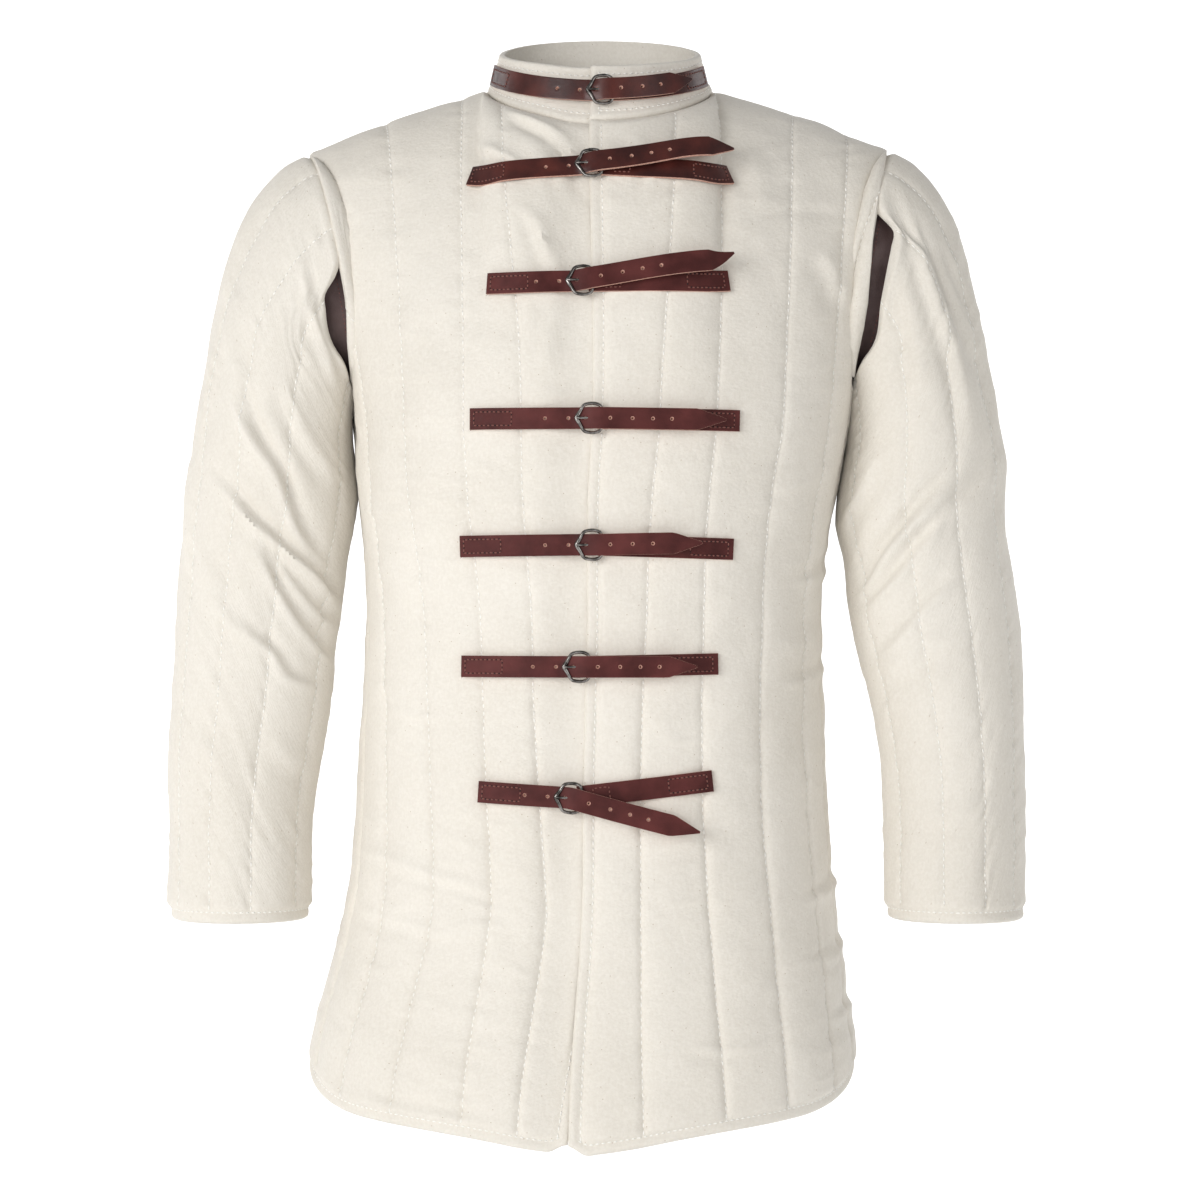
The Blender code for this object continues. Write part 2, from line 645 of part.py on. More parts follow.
def ribbon(name, centres, sides, tops, narrow, kind, slot=None):
    """A strap: three lanes wide, with one cell of its middle lane left open as a slot."""
    lanes = (-1.0, -0.2, 0.2, 1.0)
    bm = bmesh.new()
    bmesh.ops.create_grid(bm, x_segments=3, y_segments=len(centres) - 1, size=1.0)
    place = bm.verts.layers.int.new("place")
    for v in bm.verts:
        c = round((v.co.x + 1) / 2 * 3)
        r = round((v.co.y + 1) / 2 * (len(centres) - 1))
        v[place] = r * 4 + c
        v.co = (centres[r] + sides[r] * lanes[c] * narrow[r]) * MM
    if slot is not None:
        cell = {slot * 4 + 1, slot * 4 + 2, slot * 4 + 5, slot * 4 + 6}
        gone = [f for f in bm.faces if {v[place] for v in f.verts} == cell]
        bmesh.ops.delete(bm, geom=gone, context="FACES_ONLY")
    made = bmesh.ops.extrude_face_region(bm, geom=bm.faces[:], use_keep_orig=True)
    for v in (g for g in made["geom"] if isinstance(g, bmesh.types.BMVert)):
        r, c = divmod(v[place], 4)
        v.co = (centres[r] + sides[r] * lanes[c] * narrow[r] + tops[r] * LEATHER) * MM
    return finish(name, bm, kind)


def rod(name, points, radius, sides, kind, closed=False, tips=(1.0, 1.0)):
    """A round bar along points, closed into a ring or with flat ends."""
    points = np.array(points)
    count = len(points)
    bm = bmesh.new()
    rings = []
    for i, point in enumerate(points):
        before = points[i - 1] if closed or i else points[i]
        after = points[(i + 1) % count] if closed or i < count - 1 else points[i]
        run = unit(after - before)
        first = unit(np.cross(run, np.array([0.0, -1.0, 0.001])))
        second = np.cross(run, first)
        size = radius * (1.0 if closed else np.interp(i, [0, count - 1], tips))
        ring = [bm.verts.new((point + size * (first * math.cos(a) + second * math.sin(a))) * MM)
                for a in np.arange(sides) * 2 * math.pi / sides]
        rings.append(ring)
    pairs = list(zip(rings, rings[1:])) + ([(rings[-1], rings[0])] if closed else [])
    for low, high in pairs:
        for j in range(sides):
            k = (j + 1) % sides
            bm.faces.new((low[j], low[k], high[k], high[j]))
    if not closed:
        bm.faces.new(rings[0][::-1])
        bm.faces.new(rings[-1])
    return finish(name, bm, kind)


CLOTH_TOP = QUILT_GROOVE + QUILT_PUFF + 1.0


def closure(number, sewn_end, buckle, tip, tab_end, stand_off, surface, top):
    """One strap with its buckle and tab; top is the cloth's thickness under it."""
    sewn_end, buckle, tip, tab_end = (np.array(p, float) for p in (sewn_end, buckle, tip, tab_end))
    frame_lift = top + LEATHER + BUCKLE_WIRE + 1.0
    tail_lift = frame_lift + BUCKLE_WIRE + 0.45
    pull, hang = unit(buckle - sewn_end), unit(tip - buckle)
    reach, tail = np.linalg.norm(buckle - sewn_end), np.linalg.norm(tip - buckle)
    route, narrow = [], []
    for t in np.linspace(0.0, 1.0, 7):
        route.append((*(sewn_end + pull * (reach - 9.5) * t), top))
        narrow.append(1.0)
    for along, lift in ((-5.2, 0.04), (-2.5, 0.28), (2.5, 0.8), (6.0, 1.0)):
        way = pull if along < 0 else hang
        route.append((*(buckle + way * along), top + (tail_lift - top) * lift))
        narrow.append(1.0)
    slot = 8
    for t in np.linspace(0.0, 1.0, 8)[1:]:
        place = buckle + hang * (6.0 + (tail - 6.0) * t)
        route.append((*place, tail_lift + stand_off * t * t))
        narrow.append(1.0 if t < 0.8 else 0.12 if t > 0.99 else 0.62)
    centres, sides, tops = lie(surface, route, STRAP_WIDTH)
    ribbon(f"strap_{number}", centres, sides, tops, narrow, STRAP_LEATHER, slot)

    pull_tab = unit(tab_end - buckle)
    far = np.linalg.norm(tab_end - buckle)
    route = [(*(buckle + pull_tab * (5.5 + (far - 5.5) * t)), top) for t in
             np.linspace(0.0, 1.0, 8)]
    centres, sides, tops = lie(surface, route, STRAP_WIDTH)
    ribbon(f"tab_{number}", centres, sides, tops, [1.0] * len(route), STRAP_LEATHER)

    point, out = surface(*buckle)
    ahead, _ = surface(*(buckle + pull * 4.0))
    along = unit(ahead - point - out * np.dot(ahead - point, out))
    across = np.cross(out, along)
    middle = point + out * frame_lift
    ring = [middle + along * u + across * w for u, w in BUCKLE_OUTLINE]
    rod(f"buckle_{number}", ring, BUCKLE_WIRE, 6, STEEL, closed=True)
    over = BUCKLE_WIRE + PRONG_RADIUS * 0.8 + 0.35
    prong = [middle + along * u + out * lift for u, lift in
             ((7.1, -0.5), (2.6, -0.5), (-2.6, 1.2), (-7.0, over), (-12.0, over))]
    rod(f"prong_{number}", prong, PRONG_RADIUS, 6, STEEL, tips=(1.0, 0.7))


def armpit_edging(side):
    """Leather strip round the open part of an armhole, standing out towards the sleeve."""
    notch = NOTCH_ANGLE[side]
    inner, outer = [], []
    out = armhole_normal(side)
    for reach in (-EDGING_INSIDE, 2.0, 12.0, EDGING_OUTSIDE):
        row_in, row_out = [], []
        for turn in np.linspace(notch + 3.0, 357.0 - notch, 19):
            away = min(turn, 360.0 - turn)
            near = smoothstep((away - notch) / 90.0)
            length = reach if reach < 5 else reach * (1.0 - 0.35 * near)
            inset = EDGING_INSET + 0.2 * max(reach, 0.0)
            face = armhole_point(side, turn) - armhole_outward(side, turn) * inset
            row_out.append(face + out * length)
            row_in.append(face + out * length - armhole_outward(side, turn) * LEATHER)
        inner.append(row_in)
        outer.append(row_out)
    wall(f"armpit_edging_{'left' if side > 0 else 'right'}", np.array(inner), np.array(outer),
         EDGING_LEATHER)


def build():
    for obj in list(bpy.data.objects):
        bpy.data.objects.remove(obj, do_unlink=True)
    wall("front_left", *panel_grids(1, LEFT_FRONT_LINES, -1), COTTON)
    wall("front_right", *panel_grids(-1, RIGHT_FRONT_LINES, -1, under=True), COTTON)
    wall("back", *back_grids(), COTTON)
    wall("collar", *collar_grids(), COTTON)
    for side, name in ((1, "left"), (-1, "right")):
        wall(f"sleeve_{name}", *sleeve_grids(side), COTTON, closed=True)
        armpit_edging(side)
    for row in FRONT_CLOSURES:
        closure(*row, front_surface, CLOTH_TOP)
    closure(*COLLAR_CLOSURE, collar_surface, COLLAR_WALL + 2.6)


build()
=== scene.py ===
# %% [markdown]
# # A quilted arming jacket, filled out as if worn
# The jacket is padded cotton, stitched in upright channels and closed in front with seven
# leather straps. Its solids come from CAD as a fixed frame. This lesson dresses each of them:
# the same form, cut from finer cloth, with grooves, thread, folds, leather and steel.
# Lengths in the tables are millimetres, and +X is the wearer's left.

# %% Load the frame
import math

import bmesh
import bpy
import numpy as np
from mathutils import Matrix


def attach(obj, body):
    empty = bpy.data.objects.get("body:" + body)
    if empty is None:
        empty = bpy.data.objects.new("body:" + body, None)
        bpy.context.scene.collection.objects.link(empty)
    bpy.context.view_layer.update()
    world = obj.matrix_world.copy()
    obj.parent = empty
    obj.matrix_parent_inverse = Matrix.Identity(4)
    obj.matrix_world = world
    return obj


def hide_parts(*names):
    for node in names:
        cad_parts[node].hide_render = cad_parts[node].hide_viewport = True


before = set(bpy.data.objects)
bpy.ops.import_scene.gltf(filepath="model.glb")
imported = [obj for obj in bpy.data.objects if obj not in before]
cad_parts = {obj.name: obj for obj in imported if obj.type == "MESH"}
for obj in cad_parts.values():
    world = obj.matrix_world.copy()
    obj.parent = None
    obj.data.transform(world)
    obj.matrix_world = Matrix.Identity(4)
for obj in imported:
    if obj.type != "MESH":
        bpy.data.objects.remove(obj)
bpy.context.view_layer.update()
MM = 0.001

# %% [markdown]
# ## Camera, floor and light
# The photograph looks straight at the chest from a few metres, with hardly any perspective,
# so a 100 mm lens at 2.6 m is right. A pale floor runs back into a curved wall, as in a
# studio. A strong soft lamp on the left and a weaker one on the right show the folds, a wide
# spot brightens the chest, and two lamps keep the wall white.

# %% Camera
CAMERA_HEIGHT = -0.3713
CAMERA_DISTANCE = 2.6
LENS_LENGTH = 100.0
SENSOR_WIDTH = 36.0
camera_data = bpy.data.cameras.new("camera")
camera_data.lens = LENS_LENGTH
camera_data.sensor_width = SENSOR_WIDTH
camera = bpy.data.objects.new("camera", camera_data)
camera.location = (0.0, -CAMERA_DISTANCE, CAMERA_HEIGHT)
camera.rotation_euler = (math.radians(90.0), 0.0, 0.0)
bpy.context.scene.collection.objects.link(camera)
bpy.context.scene.camera = camera

# %% Floor and backdrop
FLOOR_HEIGHT = -1.3
FLOOR_HALF_WIDTH = 9.0
FLOOR_FRONT = -5.0
FLOOR_RUN = 6.0
WALL_PLACE = 2.0
WALL_BEND = 1.5


def plain_material(name, colour, roughness, glow):
    made = bpy.data.materials.new(name)
    made.use_nodes = True
    shader = made.node_tree.nodes["Principled BSDF"]
    shader.inputs["Base Color"].default_value = (*colour, 1.0)
    shader.inputs["Roughness"].default_value = roughness
    shader.inputs["Emission Color"].default_value = (1.0, 1.0, 1.0, 1.0)
    shader.inputs["Emission Strength"].default_value = glow
    return made


studio = bmesh.new()
bmesh.ops.create_grid(studio, x_segments=2, y_segments=48, size=1.0)
for v in studio.verts:
    run = (v.co.y + 1.0) * FLOOR_RUN + FLOOR_FRONT
    bend = min(max(run - WALL_PLACE, 0.0), math.pi / 2 * WALL_BEND)
    v.co.x *= FLOOR_HALF_WIDTH
    v.co.y = min(run, WALL_PLACE) + WALL_BEND * math.sin(bend / WALL_BEND)
    v.co.z = (FLOOR_HEIGHT + WALL_BEND * (1 - math.cos(bend / WALL_BEND))
              + max(run - WALL_PLACE - bend, 0.0))
bmesh.ops.recalc_face_normals(studio, faces=studio.faces)
studio_mesh = bpy.data.meshes.new("backdrop")
studio.to_mesh(studio_mesh)
studio.free()
studio_mesh.shade_smooth()
backdrop = bpy.data.objects.new("backdrop", studio_mesh)
backdrop.data.materials.append(plain_material("backdrop_paint", (0.93, 0.93, 0.93), 0.9, 0.30))
bpy.context.scene.collection.objects.link(backdrop)

# %% Lamps and sky
SKY_STRENGTH = 0.31
LAMPS = [
    ("lamp_left", (-2.4, -2.7, 0.3), 1.7, 68.0),
    ("lamp_right", (2.3, -2.8, 0.3), 2.0, 23.0),
    ("lamp_wall_left", (-2.6, 1.4, 0.4), 1.6, 30.0),
    ("lamp_wall_right", (2.6, 1.4, 0.4), 1.6, 30.0),
]
for name, place, size, power in LAMPS:
    lamp_data = bpy.data.lights.new(name, "AREA")
    lamp_data.size = size
    lamp_data.energy = power
    lamp = bpy.data.objects.new(name, lamp_data)
    lamp.location = place
    target = np.array([0.0, 3.5 if "wall" in name else 0.0, -0.35])
    away = np.array(place) - target
    lamp.rotation_euler = (math.acos(away[2] / np.linalg.norm(away)), 0.0,
                           math.atan2(away[0], -away[1]))
    bpy.context.scene.collection.objects.link(lamp)
world = bpy.data.worlds.new("sky")
world.use_nodes = True
sky = world.node_tree.nodes["Background"]
sky.inputs["Color"].default_value = (1.0, 1.0, 1.0, 1.0)
sky.inputs["Strength"].default_value = SKY_STRENGTH
bpy.context.scene.world = world
bpy.context.scene.view_settings.view_transform = "Standard"
belly_data = bpy.data.lights.new("lamp_belly", "SPOT")
belly_data.energy = 120.0
belly_data.spot_size = math.radians(27.0)
belly_data.spot_blend = 1.0
belly_data.shadow_soft_size = 0.7
belly = bpy.data.objects.new("lamp_belly", belly_data)
belly.location = (-1.1, -3.2, -0.35)
belly.rotation_euler = (math.radians(88.0), 0.0, math.radians(-17.5))
bpy.context.scene.collection.objects.link(belly)
print("lamps:", len(LAMPS) + 1)

# %% [markdown]
# ## The sizes of the jacket
# These are the tables that the CAD model is made from: sections of the body and sleeves, the
# hem line, the neck, the armholes and the quilting lines. Using the same names and numbers
# keeps every piece of cloth where its solid is.

# %% Cloth thicknesses and body sections
SEAM_GAP = 0.3
QUILT_GROOVE = 3.0
QUILT_PUFF = 3.6
COLLAR_WALL = 3.6
LINING_INSET = 5.0
LEATHER = 2.0
BODY_ROWS = [
    (-790, 214, 147, 139, -15), (-730, 213, 146, 137, -14), (-690, 205, 142, 133, -12),
    (-644, 196, 138, 128, -9), (-605, 189, 135, 123, -7), (-550, 183, 132, 116, -7),
    (-450, 178, 129, 108, -6), (-385, 176, 128, 107, -4), (-340, 178, 129, 111, -4),
    (-290, 185, 131, 118, -3), (-245, 191, 132, 123, 0), (-200, 194, 131, 126, 0),
]
BODY_SQUARENESS = 2.3
JOIN_HEIGHT = -245.0
FRONT_HEM = [(0.0, -782), (0.13, -777), (0.27, -770), (0.4, -765), (0.53, -761),
             (0.67, -756), (0.78, -748), (0.88, -738), (1.0, -727)]
BACK_HEM = [(0.0, -745), (0.5, -740), (1.0, -727)]
VENT_TOP = -690.0
VENT_OPENING = 2.2

# %% Neck, collar and armholes
NECK_HALF_WIDTH = 85.0
NECK_FRONT = 80.0
NECK_BACK = 62.0
NECK_HEIGHTS = (17.0, -22.0, -5.0)
COLLAR_HALF_WIDTH = 74.0
COLLAR_FRONT = 70.0
COLLAR_BACK = 56.0
COLLAR_TOP_MEAN = 54.0
COLLAR_TOP_TILT = -20.0
COLLAR_RADIUS = 80.0
COLLAR_HEIGHT = 42.0
NECK_SHARE = 1.0 / 3.0
SHOULDER_SHARE = 0.8
SHOULDER_POINT = {-1: (226.0, -30.0), 1: (223.0, -27.0)}
ARMHOLE_CENTRE = -117.0
ARMHOLE_BOTTOM = -207.0
ARMHOLE_FRONT = 60.0
ARMHOLE_BACK = 62.0
ARMHOLE_LEAN_UP = {-1: 0.20, 1: 0.185}
ARMHOLE_LEAN_BACK = {-1: 0.16, 1: 0.04}
NOTCH_ANGLE = {-1: 88.0, 1: 58.0}
OPENING_GAP = {-1: 15.0, 1: 20.0}
UNDERARM_GAP = 15.0
EDGING_INSIDE = 2.0
EDGING_OUTSIDE = 24.0
EDGING_INSET = 5.4

# %% Quilting lines: shares of the way from the middle to the side seam at five levels
LINE_LEVELS = (0.0, 0.32, 0.62, 1.0, 2.0)
LEFT_FRONT_LINES = [
    (-0.030, -0.026, -0.022, -0.025, -0.020), (0.001, 0.006, 0.010, 0.006, 0.002),
    (0.165, 0.145, 0.155, 0.172, 0.148), (0.385, 0.343, 0.340, 0.337, 0.3333),
    (0.565, 0.540, 0.540, 0.547, 0.545), (0.740, 0.740, 0.740, 0.744, 0.690),
    (0.870, 0.885, 0.885, 0.900, 0.855), (1.0, 1.0, 1.0, 1.0, 1.0),
]
RIGHT_FRONT_LINES = [
    (0.032, -0.045, -0.075, -0.075, -0.045), (0.063, -0.014, -0.044, -0.044, -0.023),
    (0.165, 0.126, 0.180, 0.230, 0.2100), (0.310, 0.290, 0.340, 0.400, 0.3950),
    (0.510, 0.470, 0.530, 0.600, 0.600), (0.680, 0.650, 0.720, 0.790, 0.800),
    (0.840, 0.820, 0.870, 0.920, 0.920), (1.0, 1.0, 1.0, 1.0, 1.0),
]
BACK_LINES = [
    (0.0, 0.0, 0.0, 0.0, 0.0), (0.175, 0.175, 0.175, 0.175, 0.1667),
    (0.350, 0.350, 0.350, 0.345, 0.3333), (0.520, 0.520, 0.520, 0.520, 0.480),
    (0.690, 0.690, 0.690, 0.690, 0.640), (0.850, 0.850, 0.850, 0.855, 0.800),
    (1.0, 1.0, 1.0, 1.0, 1.0),
]
CORNER_LIFT = 7.0
CORNER_REACH = (16.0, 60.0)
LAP_EDGE = [(-790, -24), (-690, -20), (-600, -15), (-500, -13), (-420, -11), (-330, -10),
            (-230, -7), (-60, -8), (60, -9)]
LAP_RUN = 42.0
LAP_DEPTH = 4.6

# %% Sleeve sections: height, body side, outer side, half depth, forward, drop
SLEEVE_ROWS = {
    1: [
        (-238, 199, 311, 68, 0, 40), (-275, 193, 315, 66, 2, 28), (-312, 189, 318, 64, 4, 16),
        (-345, 195, 321, 62, 7, 8), (-385, 199, 325, 60, 11, 4), (-424, 207, 328, 59, 16, 2),
        (-470, 214, 330, 58, 20, 0), (-551, 221, 334, 57, 26, 0), (-616, 222, 334, 57, 30, 0),
    ],
    -1: [
        (-238, 201, 313, 68, 0, 40), (-275, 198, 320, 66, 2, 28), (-312, 198, 325, 64, 4, 16),
        (-345, 200, 327, 62, 7, 8), (-385, 205, 329, 60, 11, 4), (-424, 211, 332, 59, 16, 2),
        (-470, 212, 335, 58, 20, 0), (-551, 219, 337, 57, 26, 0), (-616, 224, 337, 57, 30, 0),
    ],
}
SLEEVE_LINES = (-4.0, 35.0, 70.0, 105.0, 148.0, 190.0, 232.0, 275.0, 316.0, 356.0)
print("tables:", len(BODY_ROWS), "body sections,", len(SLEEVE_ROWS[1]), "sleeve sections")

# %% [markdown]
# ## From tables to a surface
# A row of a table is read between its heights along a smooth curve. With that, any place on
# the jacket has a point on the lining and a direction out through the cloth.

# %% Smooth reading of a table


def smoothstep(x):
    x = np.clip(x, 0.0, 1.0)
    return x * x * (3.0 - 2.0 * x)


def unit(v):
    return v / np.maximum(np.linalg.norm(v, axis=-1, keepdims=True), 1e-9)


def cos_sin(turn):
    return math.cos(math.radians(turn)), math.sin(math.radians(turn))


def curve(t, low, leave, high, arrive):
    """A smooth curve from low to high that sets off along leave and comes in along arrive."""
    return ((1 + 2 * t) * (1 - t) ** 2 * low + t * (1 - t) ** 2 * leave
            + t * t * (3 - 2 * t) * high + t * t * (t - 1) * arrive)


def between(knots, values, places):
    """Smooth values at places between knots; values has one row for each knot."""
    slopes = np.gradient(values, knots, axis=0)
    i = np.clip(np.searchsorted(knots, places) - 1, 0, len(knots) - 2)
    step = knots[i + 1] - knots[i]
    t = (places - knots[i]) / step
    shape = t.shape + (1,) * (values.ndim - 1)
    t, step = t.reshape(shape), step.reshape(shape)
    return curve(t, values[i], step * slopes[i], values[i + 1], step * slopes[i + 1])


def table_row(rows, key):
    rows = np.array(rows, float)
    rows = rows[np.argsort(rows[:, 0])]
    keys = rows[:, 0]
    key = np.clip(np.asarray(key, float), keys[0], keys[-1])
    return between(keys, rows[:, 1:], key)


# %% Body sections and the neck


def quarter(across, deep, share):
    """Point a share of the way along a rounded quarter, from the middle to the side."""
    turns = np.linspace(0.0, math.pi / 2, 97)
    x = across * np.sin(turns) ** (2 / BODY_SQUARENESS)
    y = deep * np.cos(turns) ** (2 / BODY_SQUARENESS)
    run = np.concatenate([[0.0], np.cumsum(np.hypot(np.diff(x), np.diff(y)))])
    return np.interp(share * run[-1], run, x), np.interp(share * run[-1], run, y)


def section_point(share, height, face):
    half_width, front, back, shift = table_row(BODY_ROWS, height)
    deep = front if face < 0 else back
    x, y = quarter(half_width - LINING_INSET, deep - LINING_INSET, abs(share))
    return np.array([shift + math.copysign(x, share), face * y, height])


def neck_point(turn):
    """Neck seam at a turn in degrees from the front middle, + to the wearer's left."""
    c, s = cos_sin(turn)
    deep = NECK_FRONT if c > 0 else NECK_BACK
    mean, tilt, arch = NECK_HEIGHTS
    return np.array([NECK_HALF_WIDTH * s, -deep * c,
                     mean + tilt * c + arch * math.cos(math.radians(2 * turn))])


def neck_outward(turn):
    c, s = cos_sin(turn)
    return unit(np.array([0.8 * s, -0.8 * c, 0.6]))


# %% Armholes


def armhole_point(side, turn):
    """Armhole seam at a turn in degrees from the shoulder: 90 front, 180 underarm."""
    c, s = cos_sin(turn)
    top_x, top_z = SHOULDER_POINT[side]
    rise = top_z - ARMHOLE_CENTRE if c > 0 else ARMHOLE_CENTRE - ARMHOLE_BOTTOM
    deep = ARMHOLE_FRONT if s > 0 else ARMHOLE_BACK
    y, z = -deep * s, ARMHOLE_CENTRE + rise * c
    x = top_x + ARMHOLE_LEAN_UP[side] * (z - top_z) + ARMHOLE_LEAN_BACK[side] * y
    return np.array([side * x, y, z])


def armhole_outward(side, turn):
    c, s = cos_sin(turn)
    lean = ARMHOLE_LEAN_UP[side] * c - ARMHOLE_LEAN_BACK[side] * s
    return unit(np.array([side * lean, -s, c]))


def armhole_normal(side):
    return unit(np.array([side, -ARMHOLE_LEAN_BACK[side], -ARMHOLE_LEAN_UP[side]]))


# %% Where a body column ends, and the lining of a body panel


def top_edge(share, face):
    side = 1 if share >= 0 else -1
    s = abs(share)
    if s <= NECK_SHARE:
        turn = side * 90.0 * s / NECK_SHARE
        turn = turn if face < 0 else 180.0 - turn
        lift = math.sin(math.radians(turn)) ** 2
        run = np.array([-0.10 * side * lift, -face * (0.45 + 0.55 * lift), 0.9 - 0.65 * lift])
        return neck_point(turn), unit(run), neck_outward(turn)
    corner = neck_point(90.0 * side)
    top_x, top_z = SHOULDER_POINT[side]
    shoulder = np.array([side * top_x, 0.0, top_z])
    slope = unit(np.array([side * (corner[2] - top_z), 0.0, top_x - NECK_HALF_WIDTH]))
    if s <= SHOULDER_SHARE:
        t = (s - NECK_SHARE) / (SHOULDER_SHARE - NECK_SHARE)
        point = corner + (shoulder - corner) * t
        point[2] += 3.0 * math.sin(math.pi * t)
        out = unit(neck_outward(90.0 * side) * (1 - t) ** 3 + slope * t * (1 - t)
                   + armhole_outward(side, 0.0) * t ** 3)
        lean = 0.2 * t - 0.1 + (0.1 * ARMHOLE_LEAN_UP[side] - face * ARMHOLE_LEAN_BACK[side]) * t
        return point, unit(np.array([lean * side, -face, 0.25 - 0.15 * t])), out
    t = (s - SHOULDER_SHARE) / (1.0 - SHOULDER_SHARE)
    turn = 180.0 * t if face < 0 else 360.0 - 180.0 * t
    over = max(0.0, 1.0 - 2.2 * t)
    climb = 0.10 + 0.9 * min(1.0, 2.2 * t)
    in_plane = ARMHOLE_LEAN_UP[side] * climb - face * ARMHOLE_LEAN_BACK[side] * over
    lean = in_plane + 0.1 + 0.25 * smoothstep(4.0 * t) * (1.0 - 0.6 * t)
    run = np.array([lean * side, -face * over, climb])
    sewn = armhole_outward(side, turn)
    free = smoothstep((180.0 * t - NOTCH_ANGLE[side]) / 60.0)
    flank = unit(np.array([side, 0.35 * face * (1 - free), 0.0]))
    return armhole_point(side, turn), unit(run), unit(sewn * (1 - free) + flank * free)


def lining_point(share, level, face):
    """Lining side of a body panel; level 0 is the hem, 1 the chest, 2 the top edge."""
    share_in = min(max(share, -1.0), 1.0)
    if level <= 1.0:
        rows = FRONT_HEM if face < 0 else BACK_HEM
        hem = table_row(rows, abs(share_in))[0]
        return section_point(share_in, hem + (JOIN_HEIGHT - hem) * level, face)
    low = section_point(share_in, JOIN_HEIGHT, face)
    rise = unit(section_point(share_in, JOIN_HEIGHT + 10, face)
                - section_point(share_in, JOIN_HEIGHT - 10, face))
    high, run, _ = top_edge(share_in, face)
    t = min(level - 1.0, 1.0)
    chord = np.linalg.norm(high - low)
    return curve(t, low, chord * 0.95 * rise, high, chord * 0.85 * run)


def body_outward(share, level, face):
    e = 0.004
    inner = min(max(share, -1.0 + e), 1.0 - e)
    across = lining_point(inner + e, level, face) - lining_point(inner - e, level, face)
    low, high = max(level - e, 0.0), min(level + e, 2.0)
    up = lining_point(inner, high, face) - lining_point(inner, low, face)
    natural = unit(np.cross(across, up)) * (-face)
    side = 1.0 if share >= 0 else -1.0
    seam = smoothstep((abs(share) - 0.93) / 0.07)
    natural = unit(natural * (1 - seam) + np.array([side, 0.0, 0.0]) * seam)
    edge = smoothstep((level - 1.8) / 0.2)
    return unit(natural * (1 - edge) + top_edge(share, face)[2] * edge)


def lap_sink(points):
    """How far the lower front lies in, where the other laps over it."""
    edge = table_row(LAP_EDGE, points[..., 2])[..., 0]
    return LAP_DEPTH * smoothstep((points[..., 0] - (edge - LAP_RUN)) / (LAP_RUN - 6.0))


# %% Sleeves


def sleeve_section(side, height, turn):
    body_side, outer_side, deep, forward, drop = table_row(SLEEVE_ROWS[side], height)
    c, s = cos_sin(turn)
    reach = (outer_side - body_side) / 2 - LINING_INSET
    x = (outer_side + body_side) / 2 + reach * c
    y = -forward - (deep - LINING_INSET) * s
    return np.array([side * x, y, height + drop / 2 * c])


def sleeve_start(side, turn):
    turn = turn % 360.0
    away = turn if turn <= 180.0 else 360.0 - turn
    notch = NOTCH_ANGLE[side]
    open_share = smoothstep((away - notch) / 14.0)
    under = smoothstep((away - notch) / (180.0 - notch))
    gap = OPENING_GAP[side] + (UNDERARM_GAP - OPENING_GAP[side]) * under
    return armhole_point(side, turn) + armhole_normal(side) * (SEAM_GAP / 2 + gap * open_share)


def sleeve_point(side, turn, level):
    """Lining side of a sleeve; level 0 to 1 is the cap, 1 to 2 the arm down to the cuff."""
    top, cuff = SLEEVE_ROWS[side][0][0], SLEEVE_ROWS[side][-1][0]
    if level >= 1.0:
        return sleeve_section(side, top + (cuff - top) * (level - 1.0), turn)
    start, end = sleeve_start(side, turn), sleeve_section(side, top, turn)
    c = math.cos(math.radians(turn))
    leave = unit(np.array([side * (0.62 + 0.38 * c), 0.0, -0.62 + 0.34 * c]))
    arrive = unit(sleeve_section(side, top - 12.0, turn) - end)
    chord, t = np.linalg.norm(end - start), level
    return curve(t, start, chord * leave, end, chord * arrive)


def sleeve_outward(side, turn, level):
    around = sleeve_point(side, turn + 1.0, level) - sleeve_point(side, turn - 1.0, level)
    low, high = max(level - 0.01, 0.0), min(level + 0.01, 2.0)
    along = sleeve_point(side, turn, high) - sleeve_point(side, turn, low)
    natural = unit(np.cross(around, along)) * side
    away = turn % 360.0
    away = away if away <= 180.0 else 360.0 - away
    sewn = smoothstep((0.25 - level) / 0.25)
    sewn *= smoothstep((NOTCH_ANGLE[side] + 16.0 - away) / 16.0)
    return unit(natural * (1 - sewn) + armhole_outward(side, turn) * sewn)


# %% Collar


def collar_point(turn, rise):
    """Lining side of the collar; rise 0 is the neck seam and 1 its top edge."""
    seam = neck_point(turn)
    c, s = cos_sin(turn)
    deep = COLLAR_FRONT if c > 0 else COLLAR_BACK
    top = np.array([COLLAR_HALF_WIDTH * s, -deep * c, COLLAR_TOP_MEAN + COLLAR_TOP_TILT * c])
    lean = unit(np.array([-0.6 * 0.8 * s, 0.6 * 0.8 * c, 0.64]))
    seam = seam + lean * SEAM_GAP
    curve = 4.0 * math.sin(math.pi * rise) ** 2
    return seam + (top - seam) * rise - neck_outward(turn) * curve * (1 - rise)


def collar_outward(turn, rise):
    around = collar_point(turn + 1.0, rise) - collar_point(turn - 1.0, rise)
    low, high = max(rise - 0.02, 0.0), min(rise + 0.02, 1.0)
    up = collar_point(turn, high) - collar_point(turn, low)
    natural = unit(np.cross(around, up))
    seam = smoothstep((0.2 - rise) / 0.2)
    return unit(natural * (1 - seam) + neck_outward(turn) * seam)


# %% [markdown]
# ## A fine surface from a coarse survey
# The form is measured at a few hundred places only, and a smooth curve is run through them
# both ways. Cloth drawn on that fine net keeps the CAD form and is quick to make.

# %% Survey a form, then read it anywhere


def survey(point_at, outward_at, across, up):
    across, up = np.array(across, float), np.array(up, float)
    values = np.array([[np.concatenate([point_at(u, v), outward_at(u, v)]) for u in across]
                       for v in up])
    return across, up, values


